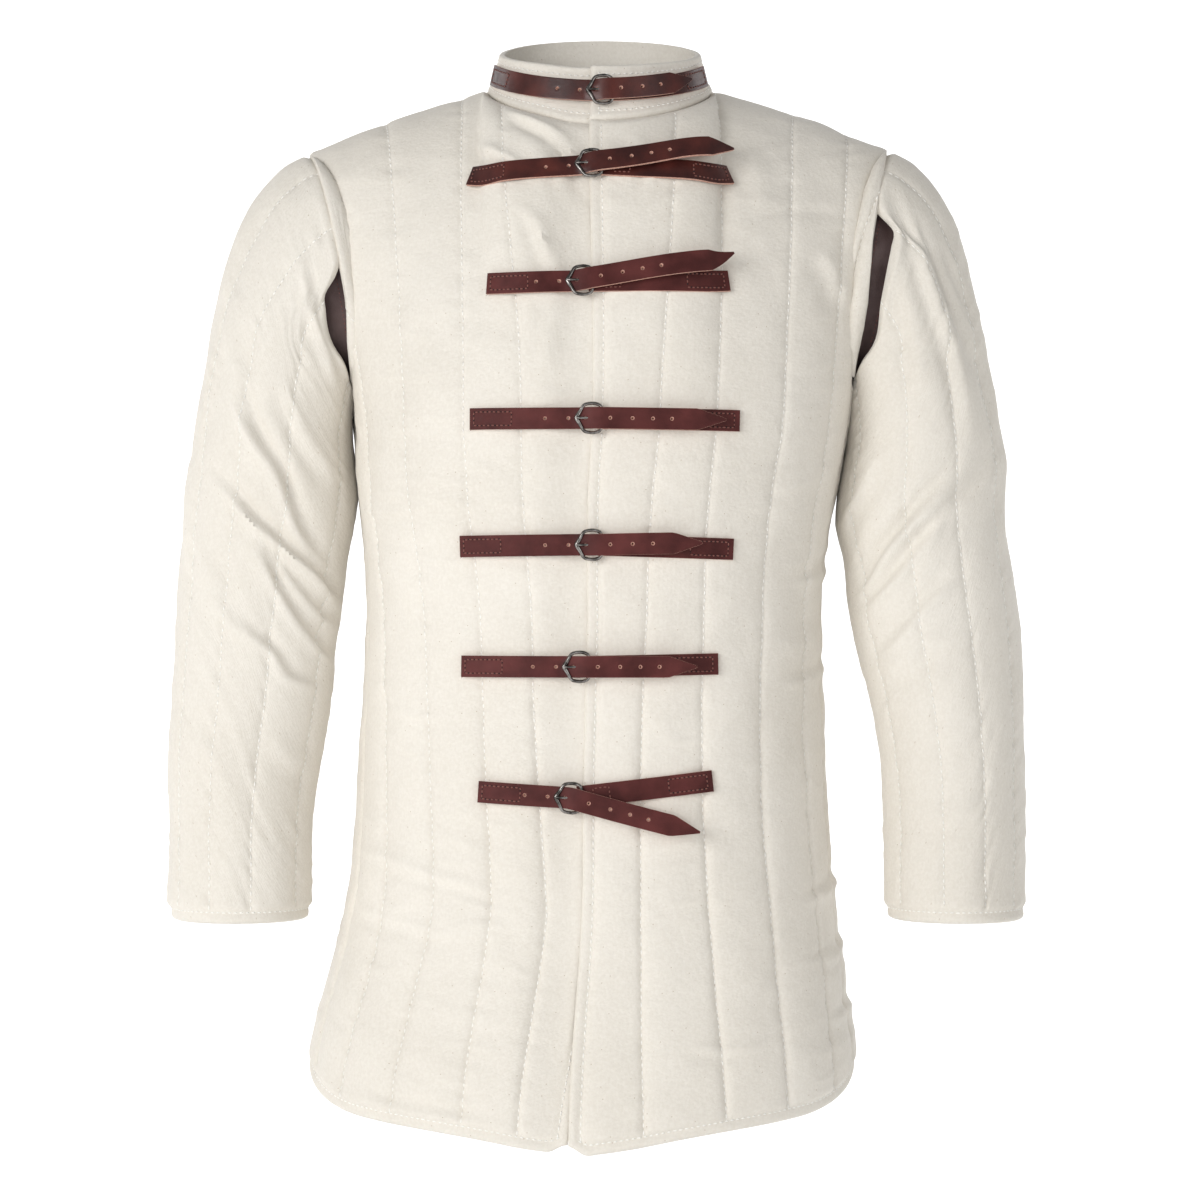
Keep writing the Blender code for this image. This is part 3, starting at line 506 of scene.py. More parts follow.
def on_form(form, places, levels):
    """Points and outward directions; places has a row of places for each level."""
    across, up, values = form
    rows = between(up, values, np.asarray(levels, float))
    found = np.array([between(across, row, at) for row, at in zip(rows, places)])
    return found[..., :3], unit(found[..., 3:])


SHARE_KNOTS = np.unique(np.concatenate([
    [-0.10, -0.05], np.linspace(0.0, NECK_SHARE, 8), np.linspace(NECK_SHARE, 0.8, 9),
    np.linspace(0.8, 1.0, 15)]))
LEVEL_KNOTS = np.concatenate([np.linspace(0.0, 1.0, 12), np.linspace(1.0, 1.9, 13)[1:],
                              [1.95, 1.975, 2.0]])
body_forms = {}
for side in (-1, 1):
    for face in (-1, 1):
        body_forms[side, face] = survey(
            lambda s, v: lining_point(s * side, v, face),
            lambda s, v: body_outward(s * side, v, face), SHARE_KNOTS, LEVEL_KNOTS)
TURN_KNOTS = np.arange(-10.0, 371.0, 8.0)
CAP_KNOTS = np.concatenate([np.linspace(0.0, 1.0, 11), np.linspace(1.0, 2.0, 12)[1:]])
sleeve_forms = {side: survey(lambda a, v: sleeve_point(side, a, v),
                             lambda a, v: sleeve_outward(side, a, v), TURN_KNOTS, CAP_KNOTS)
                for side in (-1, 1)}
collar_form = survey(collar_point, collar_outward, np.arange(-376.0, 17.0, 8.0),
                     np.linspace(0.0, 1.0, 9))
print("surveyed:", len(body_forms), "body forms,", len(sleeve_forms), "sleeves, one collar")

# %% [markdown]
# ## Uneven cloth
# Hand-quilted padding is never quite even. A soft random field, the same at every run, gives
# the small lumps and puckers, and each larger crease is given as a path.

# %% A soft random field


def uneven(x, y, seed):
    """Smooth random numbers from -1 to 1, one hill to each unit square."""
    table = np.random.default_rng(seed).uniform(-1.0, 1.0, (64, 64))
    i, j = np.floor(x).astype(int), np.floor(y).astype(int)
    u, v = smoothstep(x - i), smoothstep(y - j)
    low = table[i % 64, j % 64] * (1 - u) + table[(i + 1) % 64, j % 64] * u
    high = table[i % 64, (j + 1) % 64] * (1 - u) + table[(i + 1) % 64, (j + 1) % 64] * u
    return low * (1 - v) + high * v


# %% Creases along paths


def crease_field(x, y, creases):
    """Height of listed creases at places (x, y), in millimetres.

    A crease is its path, half width, height, and how much of that height it takes from the
    cloth on its lower side, so that it reads as a fold rather than a cord."""
    total = np.zeros_like(x)
    for path, half_width, height, bite in creases:
        path = np.array(path, float)
        marks = np.linspace(0.0, 1.0, len(path))
        fine = between(marks, path, np.linspace(0.0, 1.0, 25)) if len(path) > 2 else path
        best = np.full(x.shape, 1e9)
        signed, reach = np.zeros_like(x), np.zeros_like(x)
        count = len(fine) - 1
        for k in range(count):
            (ax, ay), (bx, by) = fine[k], fine[k + 1]
            dx, dy = bx - ax, by - ay
            size = dx * dx + dy * dy
            t = np.clip(((x - ax) * dx + (y - ay) * dy) / size, 0.0, 1.0)
            away = np.hypot(x - ax - t * dx, y - ay - t * dy)
            side = np.sign((x - ax) * dy - (y - ay) * dx)
            nearer = away < best
            best = np.where(nearer, away, best)
            signed = np.where(nearer, side * away, signed)
            reach = np.where(nearer, (k + t) / count, reach)
        fade = smoothstep(reach / 0.3) * smoothstep((1.0 - reach) / 0.3)
        ridge = np.exp(-np.abs(signed / half_width) ** 1.5)
        trough = np.exp(-((signed - 1.5 * half_width) / (1.1 * half_width)) ** 2)
        total += height * fade * (ridge - bite * trough)
    return total


# %% [markdown]
# ## Materials
# Unbleached cotton keeps a few brown flecks of seed. Its weave is too fine to model, so two
# crossed bands on the cloth's own map raise and sink it. The leather is dyed only on its
# face, so its cut edges are a pale tan. The buckles are dark, worn steel wire.

# %% Node helpers


class Finish:
    """A material with short calls to add nodes and join them."""

    def __init__(self, name, roughness, metallic=0.0, **sockets):
        self.material = bpy.data.materials.new(name)
        self.material.use_nodes = True
        self.nodes = self.material.node_tree.nodes
        self.shader = self.nodes["Principled BSDF"]
        self.shader.inputs["Roughness"].default_value = roughness
        self.shader.inputs["Metallic"].default_value = metallic
        for socket, value in sockets.items():
            self.shader.inputs[socket.replace("_", " ")].default_value = value

    def join(self, source, target):
        self.material.node_tree.links.new(source, target)

    def add(self, kind, inputs=(), **settings):
        node = self.nodes.new(kind)
        for key, value in settings.items():
            setattr(node, key, value)
        for key, value in dict(inputs).items():
            if isinstance(value, bpy.types.NodeSocket):
                self.join(value, node.inputs[key])
            else:
                node.inputs[key].default_value = value
        return node

    def where(self, of="Object"):
        if of == "Object":
            return self.add("ShaderNodeTexCoord").outputs["Object"]
        return self.add("ShaderNodeUVMap", uv_map=of).outputs["UV"]

    def stretched(self, vector, scale):
        return self.add("ShaderNodeMapping", {"Vector": vector, "Scale": scale}).outputs[0]

    def noise(self, vector, scale, detail=2.0):
        return self.add("ShaderNodeTexNoise", {"Vector": vector, "Scale": scale,
                                               "Detail": detail}).outputs["Fac"]

    def ramp(self, value, stops):
        node = self.add("ShaderNodeValToRGB", {"Fac": value})
        marks = node.color_ramp.elements
        while len(marks) < len(stops):
            marks.new(0.5)
        for mark, (place, colour) in zip(marks, stops):
            mark.position, mark.color = place, (*colour, 1.0)
        return node.outputs["Color"]

    def maths(self, operation, a, b):
        return self.add("ShaderNodeMath", {0: a, 1: b}, operation=operation).outputs[0]

    def mix(self, share, a, b):
        node = self.add("ShaderNodeMix", data_type="RGBA")
        for index, value in ((0, share), (6, a), (7, b)):
            if isinstance(value, bpy.types.NodeSocket):
                self.join(value, node.inputs[index])
            else:
                node.inputs[index].default_value = value if index == 0 else (*value, 1.0)
        return node.outputs[2]

    def bump(self, height, strength, distance, under=None):
        node = self.add("ShaderNodeBump", {"Height": height, "Strength": strength,
                                           "Distance": distance})
        if under is not None:
            self.join(under, node.inputs["Normal"])
        return node.outputs["Normal"]

    def wear(self, colour=None, roughness=None, normal=None):
        for socket, value in (("Base Color", colour), ("Roughness", roughness),
                              ("Normal", normal)):
            if value is not None:
                self.join(value, self.shader.inputs[socket])
        return self.material


# %% Unbleached cotton


def cotton_material():
    made = Finish("unbleached_cotton", 0.9, Sheen_Weight=0.18, Sheen_Roughness=0.45)
    cloth, here = made.where("cloth"), made.where()
    warp = made.add("ShaderNodeTexWave", {"Vector": cloth, "Scale": 330.0, "Distortion": 0.6,
                                          "Detail Scale": 3.0}, bands_direction="X")
    weft = made.add("ShaderNodeTexWave", {"Vector": cloth, "Scale": 300.0, "Distortion": 0.6,
                                          "Detail Scale": 3.0}, bands_direction="Y")
    weave = made.maths("MULTIPLY", warp.outputs["Fac"], weft.outputs["Fac"])
    slub = made.noise(made.stretched(cloth, (900.0, 180.0, 1.0)), 1.0, 2.0)
    nap = made.noise(made.stretched(cloth, (260.0, 420.0, 1.0)), 1.0, 3.0)
    fluff = made.noise(here, 95.0, 3.0)
    cream = made.ramp(made.noise(here, 9.0, 3.0), [(0.3, (0.700, 0.660, 0.590)),
                                                   (0.7, (0.755, 0.718, 0.652))])
    cream = made.mix(made.maths("MULTIPLY", slub, 0.34), cream, (0.60, 0.54, 0.45))
    flock = made.ramp(made.noise(here, 420.0, 2.0), [(0.38, (0.0,) * 3), (0.66, (0.22,) * 3)])
    cream = made.mix(flock, cream, (0.86, 0.83, 0.77))
    seeds = made.add("ShaderNodeTexVoronoi", {"Vector": cloth, "Scale": 62.0,
                                              "Randomness": 1.0}, voronoi_dimensions="2D")
    near = made.maths("LESS_THAN", seeds.outputs["Distance"], 0.024)
    few = made.maths("LESS_THAN", made.noise(made.stretched(cloth, (31.0, 31.0, 1.0)), 1.0), 0.47)
    fleck = made.maths("MULTIPLY", made.maths("MULTIPLY", near, few), 0.55)
    colour = made.mix(fleck, cream, (0.30, 0.19, 0.09))
    rumple = made.noise(here, 38.0, 4.0)
    normal = made.bump(rumple, 0.30, 0.0040)
    normal = made.bump(fluff, 0.30, 0.0018, normal)
    normal = made.bump(nap, 0.40, 0.0008, normal)
    normal = made.bump(weave, 0.40, 0.00025, normal)
    return made.wear(colour=colour, normal=normal)


def thread_material(name, colour, roughness):
    made = Finish(name, roughness)
    twist = made.add("ShaderNodeTexWave", {"Vector": made.where(), "Scale": 700.0},
                     bands_direction="DIAGONAL")
    # The twist's bands are also a fifth darker in colour: painted shade in the grooves between the
    # plies.
    dark = tuple(c * 0.8 for c in colour)
    return made.wear(colour=made.mix(twist.outputs["Fac"], dark, colour),
                     normal=made.bump(twist.outputs["Fac"], 0.3, 0.0001))


# %% Leather


def leather_material(name, dark, light, roughness, grain, gloss, coat=0.0):
    made = Finish(name, roughness, Coat_Weight=coat, Coat_Roughness=0.22,
                  Specular_IOR_Level=gloss)
    here = made.where()
    tone = made.ramp(made.noise(here, 45.0, 4.0), [(0.35, dark), (0.7, light)])
    pores = made.add("ShaderNodeTexVoronoi", {"Vector": here, "Scale": grain})
    rub = made.noise(here, 260.0, 3.0)
    shine = made.add("ShaderNodeMapRange", {"Value": rub, "To Min": roughness - 0.1,
                                            "To Max": roughness + 0.14}).outputs[0]
    normal = made.bump(made.noise(here, 160.0, 3.0), 0.12, 0.001)
    normal = made.bump(pores.outputs["Distance"], 0.22, 0.0003, normal)
    return made.wear(colour=tone, roughness=shine, normal=normal)


def cut_edge_material():
    made = Finish("leather_cut_edge", 0.85)
    fibres = made.noise(made.where(), 900.0, 4.0)
    colour = made.ramp(fibres, [(0.3, (0.36, 0.17, 0.13)), (0.75, (0.66, 0.42, 0.33))])
    return made.wear(colour=colour, normal=made.bump(fibres, 0.5, 0.0004))


# %% Steel


def steel_material():
    made = Finish("antique_steel", 0.25, metallic=1.0)
    here = made.where()
    tone = made.ramp(made.noise(here, 190.0, 4.0), [(0.35, (0.070, 0.064, 0.060)),
                                                    (0.75, (0.42, 0.395, 0.375))])
    return made.wear(colour=tone, normal=made.bump(made.noise(here, 700.0, 3.0), 0.15, 0.0003))


cotton = cotton_material()
cotton_thread = thread_material("cotton_thread", (0.95, 0.93, 0.88), 0.7)
brown_thread = thread_material("brown_thread", (0.22, 0.080, 0.062), 0.6)
# Near-black thread colour: painted shade for the needle holes in the leather.
hole_shade_thread = thread_material("hole_shade_thread", (0.014, 0.005, 0.005), 0.8)
strap_leather = leather_material("strap_leather", (0.054, 0.0135, 0.0125),
                                 (0.106, 0.0275, 0.0255), 0.50, 1500.0, 0.12)
throat_leather = leather_material("throat_leather", (0.032, 0.006, 0.005),
                                  (0.085, 0.018, 0.013), 0.36, 1500.0, 0.30, 0.15)
edging_leather = leather_material("edging_leather", (0.078, 0.047, 0.045),
                                  (0.140, 0.098, 0.094), 0.55, 900.0, 0.25)
cut_edge = cut_edge_material()
steel = steel_material()
print("materials:", len(bpy.data.materials))

# %% [markdown]
# ## Cutting and filling a panel
# A panel is a flat grid whose points are moved onto the form, then extruded through the
# padding. Its outer face swells between the quilting lines, dips at each line and each seam,
# and rolls over at a turned border. Its lining stays plain.

# %% Depth of the padding
FULL_CHANNEL = 34.0
STITCH_DIP = 2.3
BORDER_FADE = (7.0, 6.0)
SEAM_FADE = 7.0


def run_lengths(points, axis):
    steps = np.linalg.norm(np.diff(points, axis=axis), axis=2)
    start = np.zeros((1, points.shape[1]) if axis == 0 else (points.shape[0], 1))
    return np.concatenate([start, np.cumsum(steps, axis=axis)], axis=axis)


def border_roll(away):
    """Height of a turned, topstitched border, and how it rounds off at its very edge."""
    return np.exp(-((away - 4.2) / 3.0) ** 4), np.clip(away / 1.6, 0.0, 1.0) ** 0.5


def padding(points, line_columns, edges, seed, depth):
    """Thickness of the quilted wall over a grid of lining points, in millimetres."""
    over, up = run_lengths(points, 1), run_lengths(points, 0)
    marks = over[:, line_columns]
    away = np.abs(over[:, :, None] - marks[:, None, :]).min(axis=2)
    pocket = np.clip(np.array([np.searchsorted(m, o, "right") for m, o in zip(marks, over)]),
                     1, len(line_columns) - 1)
    rows = np.arange(len(points))[:, None]
    low, high = marks[rows, pocket - 1], marks[rows, pocket]
    share = np.clip((over - low) / np.maximum(high - low, 1e-6), 0.0, 1.0)
    dip = 1 - np.exp(-(away / STITCH_DIP) ** 1.4)
    swell = 0.50 * dip + 0.50 * np.sin(np.pi * share) ** 0.8
    swell = 1.0 - depth * (1.0 - swell)
    full = np.minimum(1.0, (high - low) / FULL_CHANNEL) ** 0.8
    ends = {"left": over, "right": over[:, -1:] - over, "low": up, "high": up[-1:] - up}
    fade, base, roll_sum = np.ones_like(over), np.full_like(over, QUILT_GROOVE), 0.0
    for name, kind in edges.items():
        away_edge = ends[name]
        if kind == "border":
            roll, rounding = border_roll(away_edge)
            fade *= smoothstep((away_edge - BORDER_FADE[0]) / BORDER_FADE[1])
            roll_sum = np.maximum(roll_sum, roll)
            base *= 0.35 + 0.65 * rounding
        else:
            fade *= smoothstep(away_edge / SEAM_FADE)
            base *= 0.62 + 0.38 * smoothstep(away_edge / 3.0)
    pucker = uneven(up / 6.5, over / 30.0, seed) * np.exp(-away / 7.0)
    pucker += 0.5 * uneven(up / 3.6 + 9.0, over / 16.0, seed + 1) * np.exp(-away / 4.0)
    lumps = uneven(up / 26.0, over / 17.0, seed + 2) * 0.35
    lumps += uneven(up / 60.0, over / 30.0, seed + 3) * 0.3
    ripple = np.exp(-(uneven(up / 15.0, over / 42.0, seed + 5) / 0.24) ** 2)
    ripple *= smoothstep(0.35 + 1.6 * uneven(up / 55.0 + 3.0, over / 50.0, seed + 6))
    pucker += 0.75 * ripple
    thick = base + QUILT_PUFF * full * fade * swell * (1 + 0.10 * lumps) + fade * (
        0.95 * pucker + 0.75 * lumps) + 0.9 * roll_sum
    return thick, over, up


# %% Grid to closed wall


def cloth_wall(name, inner, outer, over, up, material, closed=False):
    """A closed wall between two grids of points, with a cloth map in metres."""
    rows, cols = inner.shape[:2]
    bm = bmesh.new()
    bmesh.ops.create_grid(bm, x_segments=cols - 1, y_segments=rows - 1, size=1.0)
    place = bm.verts.layers.int.new("place")
    for v in bm.verts:
        c = round((v.co.x + 1) / 2 * (cols - 1))
        r = round((v.co.y + 1) / 2 * (rows - 1))
        v[place] = r * cols + c
        v.co = inner[r, c] * MM
    cloth = bm.loops.layers.uv.new("cloth")
    for face in bm.faces:
        for loop in face.loops:
            r, c = divmod(loop.vert[place], cols)
            loop[cloth].uv = (over[r, c] * MM, up[r, c] * MM)
    if closed:
        edge = [v for v in bm.verts if v[place] % cols in (0, cols - 1)]
        bmesh.ops.remove_doubles(bm, verts=edge, dist=1e-6)
    made = bmesh.ops.extrude_face_region(bm, geom=bm.faces[:], use_keep_orig=True)
    for v in (g for g in made["geom"] if isinstance(g, bmesh.types.BMVert)):
        v.co = outer[divmod(v[place], cols)] * MM
    return finish_piece(name, bm, material)


def finish_piece(name, bm, *materials, sharp=60.0):
    bmesh.ops.recalc_face_normals(bm, faces=bm.faces)
    mesh = bpy.data.meshes.new(name)
    bm.to_mesh(mesh)
    bm.free()
    mesh.shade_smooth()
    mesh.set_sharp_from_angle(angle=math.radians(sharp))
    piece = bpy.data.objects.new(name, mesh)
    for material in materials:
        mesh.materials.append(material)
    bpy.context.scene.collection.objects.link(piece)
    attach(piece, "root")
    return piece


# %% Stitches: one is made once, then laid along every seam
stitch = bmesh.new()
bmesh.ops.create_icosphere(stitch, subdivisions=1, radius=1.0)
STITCH_POINTS = np.array([v.co[:] for v in stitch.verts])
STITCH_FACES = np.array([[v.index for v in f.verts] for f in stitch.faces])
stitch.free()
STITCH_PITCH = 5.6
STITCH_LENGTH = 4.1
STITCH_THICK = 0.62
STITCH_LIFT = 0.15
BORDER_STITCH = 0.8


def along_path(path, outs, pitch, length, thick, lift, start=0.0):
    """Centre, half run, half side and half height of stitches along a path."""
    path, outs = np.asarray(path), np.asarray(outs)
    run = np.concatenate([[0.0], np.cumsum(np.linalg.norm(np.diff(path, axis=0), axis=1))])
    marks = np.arange(start + length / 2, run[-1] - length / 2, pitch)
    if not len(marks):
        return np.zeros((0, 4, 3))
    wobble = np.random.default_rng(len(path)).uniform(-0.25, 0.25, (2, len(marks)))

    def at(s, values):
        return np.stack([np.interp(s, run, values[:, k]) for k in range(3)], axis=1)

    half = length / 2 + wobble[0]
    low, high = at(marks - half, path), at(marks + half, path)
    out = unit(at(marks, outs))
    centre = at(marks, path) * 0.5 + (low + high) * 0.25 + out * lift
    forward = (high - low) / 2
    side = unit(np.cross(forward, out)) * thick
    centre += side * wobble[1][:, None] * 0.6
    return np.stack([centre, forward, side, out * thick * 0.8], axis=1)


def lay_thread(name, stitches, material):
    """All of a piece's stitches as one object."""
    stitches = np.concatenate(stitches)
    points = (stitches[:, None, 0] + np.einsum("pk,nkc->npc", STITCH_POINTS, stitches[:, 1:]))
    faces = STITCH_FACES[None] + np.arange(len(stitches))[:, None, None] * len(STITCH_POINTS)
    mesh = bpy.data.meshes.new(name)
    mesh.from_pydata((points.reshape(-1, 3) * MM).tolist(), [], faces.reshape(-1, 3).tolist())
    mesh.materials.append(material)
    mesh.shade_smooth()
    piece = bpy.data.objects.new(name, mesh)
    bpy.context.scene.collection.objects.link(piece)
    bm = bmesh.new()
    bm.from_mesh(mesh)
    bmesh.ops.recalc_face_normals(bm, faces=bm.faces)
    bm.to_mesh(mesh)
    bm.free()
    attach(piece, "root")
    return piece


# %% [markdown]
# ## Fronts and back
# The wearer's left front laps over the right one, which lies a few millimetres in. Both have
# six lines of stitches that fan out to the hem, and the back has five on each side of one in
# the middle. A channel's points are set closer to its stitches, where the cloth turns most.

# %% Columns and rows of a panel
CHANNEL_STEPS = 16
BACK_STEPS = 12
FRONT_ROWS = 300
BACK_ROWS = 230
LOWER_ROWS = 0.68
PANEL_LENGTH = 537.0
SOFT_EDGE = 14.0
EDGE_RUNS = (0.0, 0.7, 1.6, 3.0, 4.6, 6.2, 7.4, 8.4, 9.4, 11.0, 13.0)


def panel_levels(rows):
    """Levels of a panel's rows, closest together at the hem."""
    low = [r / PANEL_LENGTH for r in EDGE_RUNS]
    lower = int(rows * LOWER_ROWS)
    return np.array(low + list(np.linspace(low[-1], 1.0, lower)[1:])
                    + list(1.0 + np.linspace(0.0, 1.0, rows - lower)[1:]))


def steps_of(lines, steps):
    """Columns in each channel; a narrow one, such as a border, needs fewer."""
    return [steps if b[0] - a[0] > 0.05 else max(6, steps // 2) for a, b in zip(lines, lines[1:])]


def spread(count):
    """Places across a channel from 0 up to 1, closer together next to its stitches."""
    even = np.arange(count) / count
    return 0.5 * even + 0.25 * (1 - np.cos(np.pi * even))


def panel_shares(lines, levels, counts):
    """A row of column places for each level, from the panel's edge to its side seam."""
    shares = []
    for level in levels:
        marks = [float(np.interp(level, LINE_LEVELS, row)) for row in lines]
        row = []
        for low, high, count in zip(marks, marks[1:], counts):
            row.extend(low + (high - low) * spread(count))
        shares.append(row + [marks[-1]])
    return np.array(shares)


def lay_panel(side, face, lines, levels, counts):
    """Points of a panel on the form, clear of its seam and open at the side vent."""
    shares = panel_shares(lines, levels, counts)
    points, outs = on_form(body_forms[side, face], shares, levels)
    vent = smoothstep((VENT_TOP - points[..., 2]) / 30.0) * smoothstep((shares - 0.9) / 0.1)
    points[..., 1] += face * (SEAM_GAP / 2 + VENT_OPENING * vent)
    return points, outs


def body_depth(points):
    """How deep the grooves are: shallow on the chest, where the padding is stretched."""
    return 0.66 + 0.42 * smoothstep((-330.0 - points[..., 2]) / 260.0)


def fold_panel(points, outs, thick, over, up, folds, seed):
    """Inner and outer points of a panel that sags a little and is folded."""
    soft = smoothstep(over / SOFT_EDGE) * smoothstep(up / SOFT_EDGE)
    soft = soft * smoothstep((up[-1:] - up) / SOFT_EDGE)
    soft *= smoothstep((over[:, -1:] - over) / SOFT_EDGE)
    sag = uneven(points[..., 0] / 62.0, points[..., 2] / 75.0, seed) * 1.5 * soft
    sag += uneven(points[..., 0] / 21.0, points[..., 2] / 27.0, seed + 50) * 0.7 * soft
    inner = points + outs * np.minimum(sag + 0.6 * folds * soft, 2.5)[..., None]
    return inner, points + outs * (thick + sag + folds * soft)[..., None]


# %% Creases of the fronts, as seen from the front: across, height
FRONT_CREASES = {
    1: [
        ([(165, -104), (176, -124), (187, -150)], 8, 2.6, 0.8),
        ([(198, -77), (150, -79), (100, -86)], 4, -1.3, 0.3),
        ([(172, -262), (150, -282), (128, -294)], 8, 1.5, 0.6),
        ([(174, -318), (152, -335), (136, -352)], 9, 1.5, 0.6),
        ([(172, -392), (150, -405), (132, -410)], 9, 1.3, 0.6),
        ([(176, -470), (158, -500), (150, -530)], 10, 1.3, 0.6),
        ([(198, -640), (180, -655), (150, -661)], 8, 1.0, 0.5),
        ([(196, -700), (170, -712), (130, -716)], 7, 1.0, 0.6),
        ([(110, -28), (120, -60), (122, -95)], 9, 1.6, 0.6),
        ([(178, -334), (164, -352), (140, -360)], 4.5, 2.2, 0.8),
        ([(178, -414), (158, -430), (132, -436)], 4.5, 2.0, 0.8),
        ([(190, -566), (174, -590), (146, -604)], 4.5, 2.2, 0.8),
        ([(196, -618), (178, -640), (152, -650)], 4.5, 2.0, 0.8),
        ([(200, -668), (186, -686), (164, -694)], 4.5, 2.0, 0.8),
        ([(60, -700), (92, -706), (128, -700)], 4.0, 1.6, 0.8),
        ([(20, -20), (34, -44), (38, -70)], 4.0, 2.4, 0.9),
    ],
    -1: [
        ([(-183, -728), (-152, -743), (-108, -749), (-68, -752)], 5, -1.6, 0.5),
        ([(-172, -250), (-158, -272), (-150, -300)], 9, 1.5, 0.7),
        ([(-168, -330), (-150, -352), (-140, -380)], 9, 1.3, 0.6),
        ([(-172, -430), (-150, -445), (-136, -470)], 10, 1.2, 0.6),
        ([(-180, -560), (-160, -590), (-152, -620)], 10, 1.2, 0.6),
        ([(-60, -18), (-40, -50), (-32, -90)], 8, 1.6, 0.6),
        ([(-71, -3), (-48, -14), (-25, -30), (-4, -83)], 4.2, 4.4, 0.9),
        ([(-89, -27), (-70, -40), (-49, -56)], 4.4, 3.4, 0.9),
        ([(-46, -40), (-30, -56), (-18, -88)], 4.0, 3.0, 0.7),
        ([(-54, -76), (-42, -106), (-33, -136)], 4.4, 4.0, 0.8),
        ([(-34, -142), (-36, -170), (-44, -206)], 4.6, 2.6, 0.8),
        ([(-52, -228), (-36, -222), (-18, -216)], 4.4, 1.4, 0.8),
        ([(-180, -300), (-156, -304), (-120, -300)], 4.0, 1.6, 0.8),
        ([(-186, -562), (-156, -567), (-110, -580), (-64, -590)], 5.0, 1.7, 0.7),
        ([(-188, -606), (-150, -612), (-104, -622)], 5.0, 1.4, 0.7),
    ],
}
BACK_CREASES = [
    ([(-165, -110), (-150, -160), (-120, -200)], 7, 3.6, 0.8),
    ([(160, -105), (146, -158), (110, -205)], 7, 3.6, 0.8),
    ([(-158, -360), (-90, -378), (-20, -384)], 6, 2.8, 0.8),
    ([(160, -392), (90, -404), (30, -398)], 6, 2.6, 0.8),
    ([(-160, -430), (-100, -445), (-60, -448)], 6, 2.4, 0.8),
    ([(168, -330), (120, -348), (60, -352)], 6, 2.2, 0.8),
    ([(-60, -30), (0, -44), (62, -30)], 7, 2.0, 0.7),
    ([(-186, -600), (-150, -622), (-110, -628)], 6, 2.0, 0.7),
    ([(180, -700), (150, -716), (100, -722)], 8, 1.0, 0.6),
]

# %% Cut the fronts


def cut_front(side):
    """Inner and outer grids of a front, with its lines' column numbers."""
    lines = LEFT_FRONT_LINES if side > 0 else RIGHT_FRONT_LINES
    counts = steps_of(lines, CHANNEL_STEPS)
    columns = [0] + list(np.cumsum(counts))
    points, outs = lay_panel(side, -1, lines, panel_levels(FRONT_ROWS), counts)
    corner = smoothstep(1.0 - run_lengths(points, 1) / CORNER_REACH[0]) * smoothstep(
        1.0 - run_lengths(points, 0) / CORNER_REACH[1])
    points[..., 2] += CORNER_LIFT * corner
    folds = crease_field(points[..., 0], points[..., 2], FRONT_CREASES[side])
    thick, over, up = padding(points, columns, {"left": "border", "low": "border",
                                                "right": "seam", "high": "seam"},
                              11 + side, body_depth(points))
    if side < 0:
        sink = lap_sink(points)
        points = points - outs * sink[..., None]
        thick = thick - (thick - QUILT_GROOVE) * 0.55 * sink / LAP_DEPTH
    inner, outer = fold_panel(points, outs, thick, over, up, folds, 5 + side)
    return inner, outer, over, up, columns, outs


# %% Sew a panel: its wall and its thread


def sew_panel(name, grids, rows, lines, border, closed=False):
    """A panel's wall, with stitches up each line and along the turned border."""
    inner, outer, over, up, _, outs = grids
    wall = cloth_wall(name + "_cloth", inner, outer, over, up, cotton, closed)
    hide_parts(name)
    stitches = [along_path(outer[rows, c], outs[rows, c], STITCH_PITCH, STITCH_LENGTH,
                           STITCH_THICK, STITCH_LIFT, n % 3) for n, c in enumerate(lines)]
    stitches.append(along_path(outer[border], outs[border], STITCH_PITCH * BORDER_STITCH,
                               STITCH_LENGTH * BORDER_STITCH, STITCH_THICK, STITCH_LIFT))
    thread = lay_thread(name + "_thread", stitches, cotton_thread)
    area = sum(f.area for f in wall.data.polygons) / 2
    print(name, "triangles:", len(wall.data.polygons) * 2, "area:", round(area, 4),
          "across:", round(over[:, -1].max() * MM, 3), "long:", round(up[-1].max() * MM, 3))
    return wall, thread


HEM_ROW = 7
ABOVE_HEM = slice(HEM_ROW, None)
ALONG_HEM = (HEM_ROW, slice(6, None))
for side, name in ((1, "front_left"), (-1, "front_right")):
    grids = cut_front(side)
    wall, thread = sew_panel(name, grids, ABOVE_HEM, grids[4][1:-1], ALONG_HEM)

# %% Cut the back: one piece from side seam to side seam


def cut_back():
    counts = steps_of(BACK_LINES, BACK_STEPS)
    right, left = (lay_panel(side, 1, BACK_LINES, panel_levels(BACK_ROWS), counts)
                   for side in (-1, 1))
    points, outs = (np.concatenate([r[:, :0:-1], l], axis=1) for r, l in zip(right, left))
    middle = sum(counts)
    columns = sorted({middle + s * c for c in np.cumsum([0] + counts) for s in (-1, 1)})
    folds = crease_field(points[..., 0], points[..., 2], BACK_CREASES)
    thick, over, up = padding(points, columns, {"left": "seam", "right": "seam",
                                                "low": "border", "high": "seam"},
                              23, body_depth(points))
    inner, outer = fold_panel(points, outs, thick, over, up, folds, 8)
    return inner, outer, over, up, columns, outs


grids = cut_back()
wall, thread = sew_panel("back", grids, ABOVE_HEM, grids[4][1:-1], ALONG_HEM)

# %% [markdown]
# ## Sleeves
# Each sleeve is a padded tube with nine channels, sewn on over the shoulder only. The arms
# hang a little bent, so the cloth folds across the elbow: soft ridges that run down and in
# towards the body, and long gathers that fall from the cap.

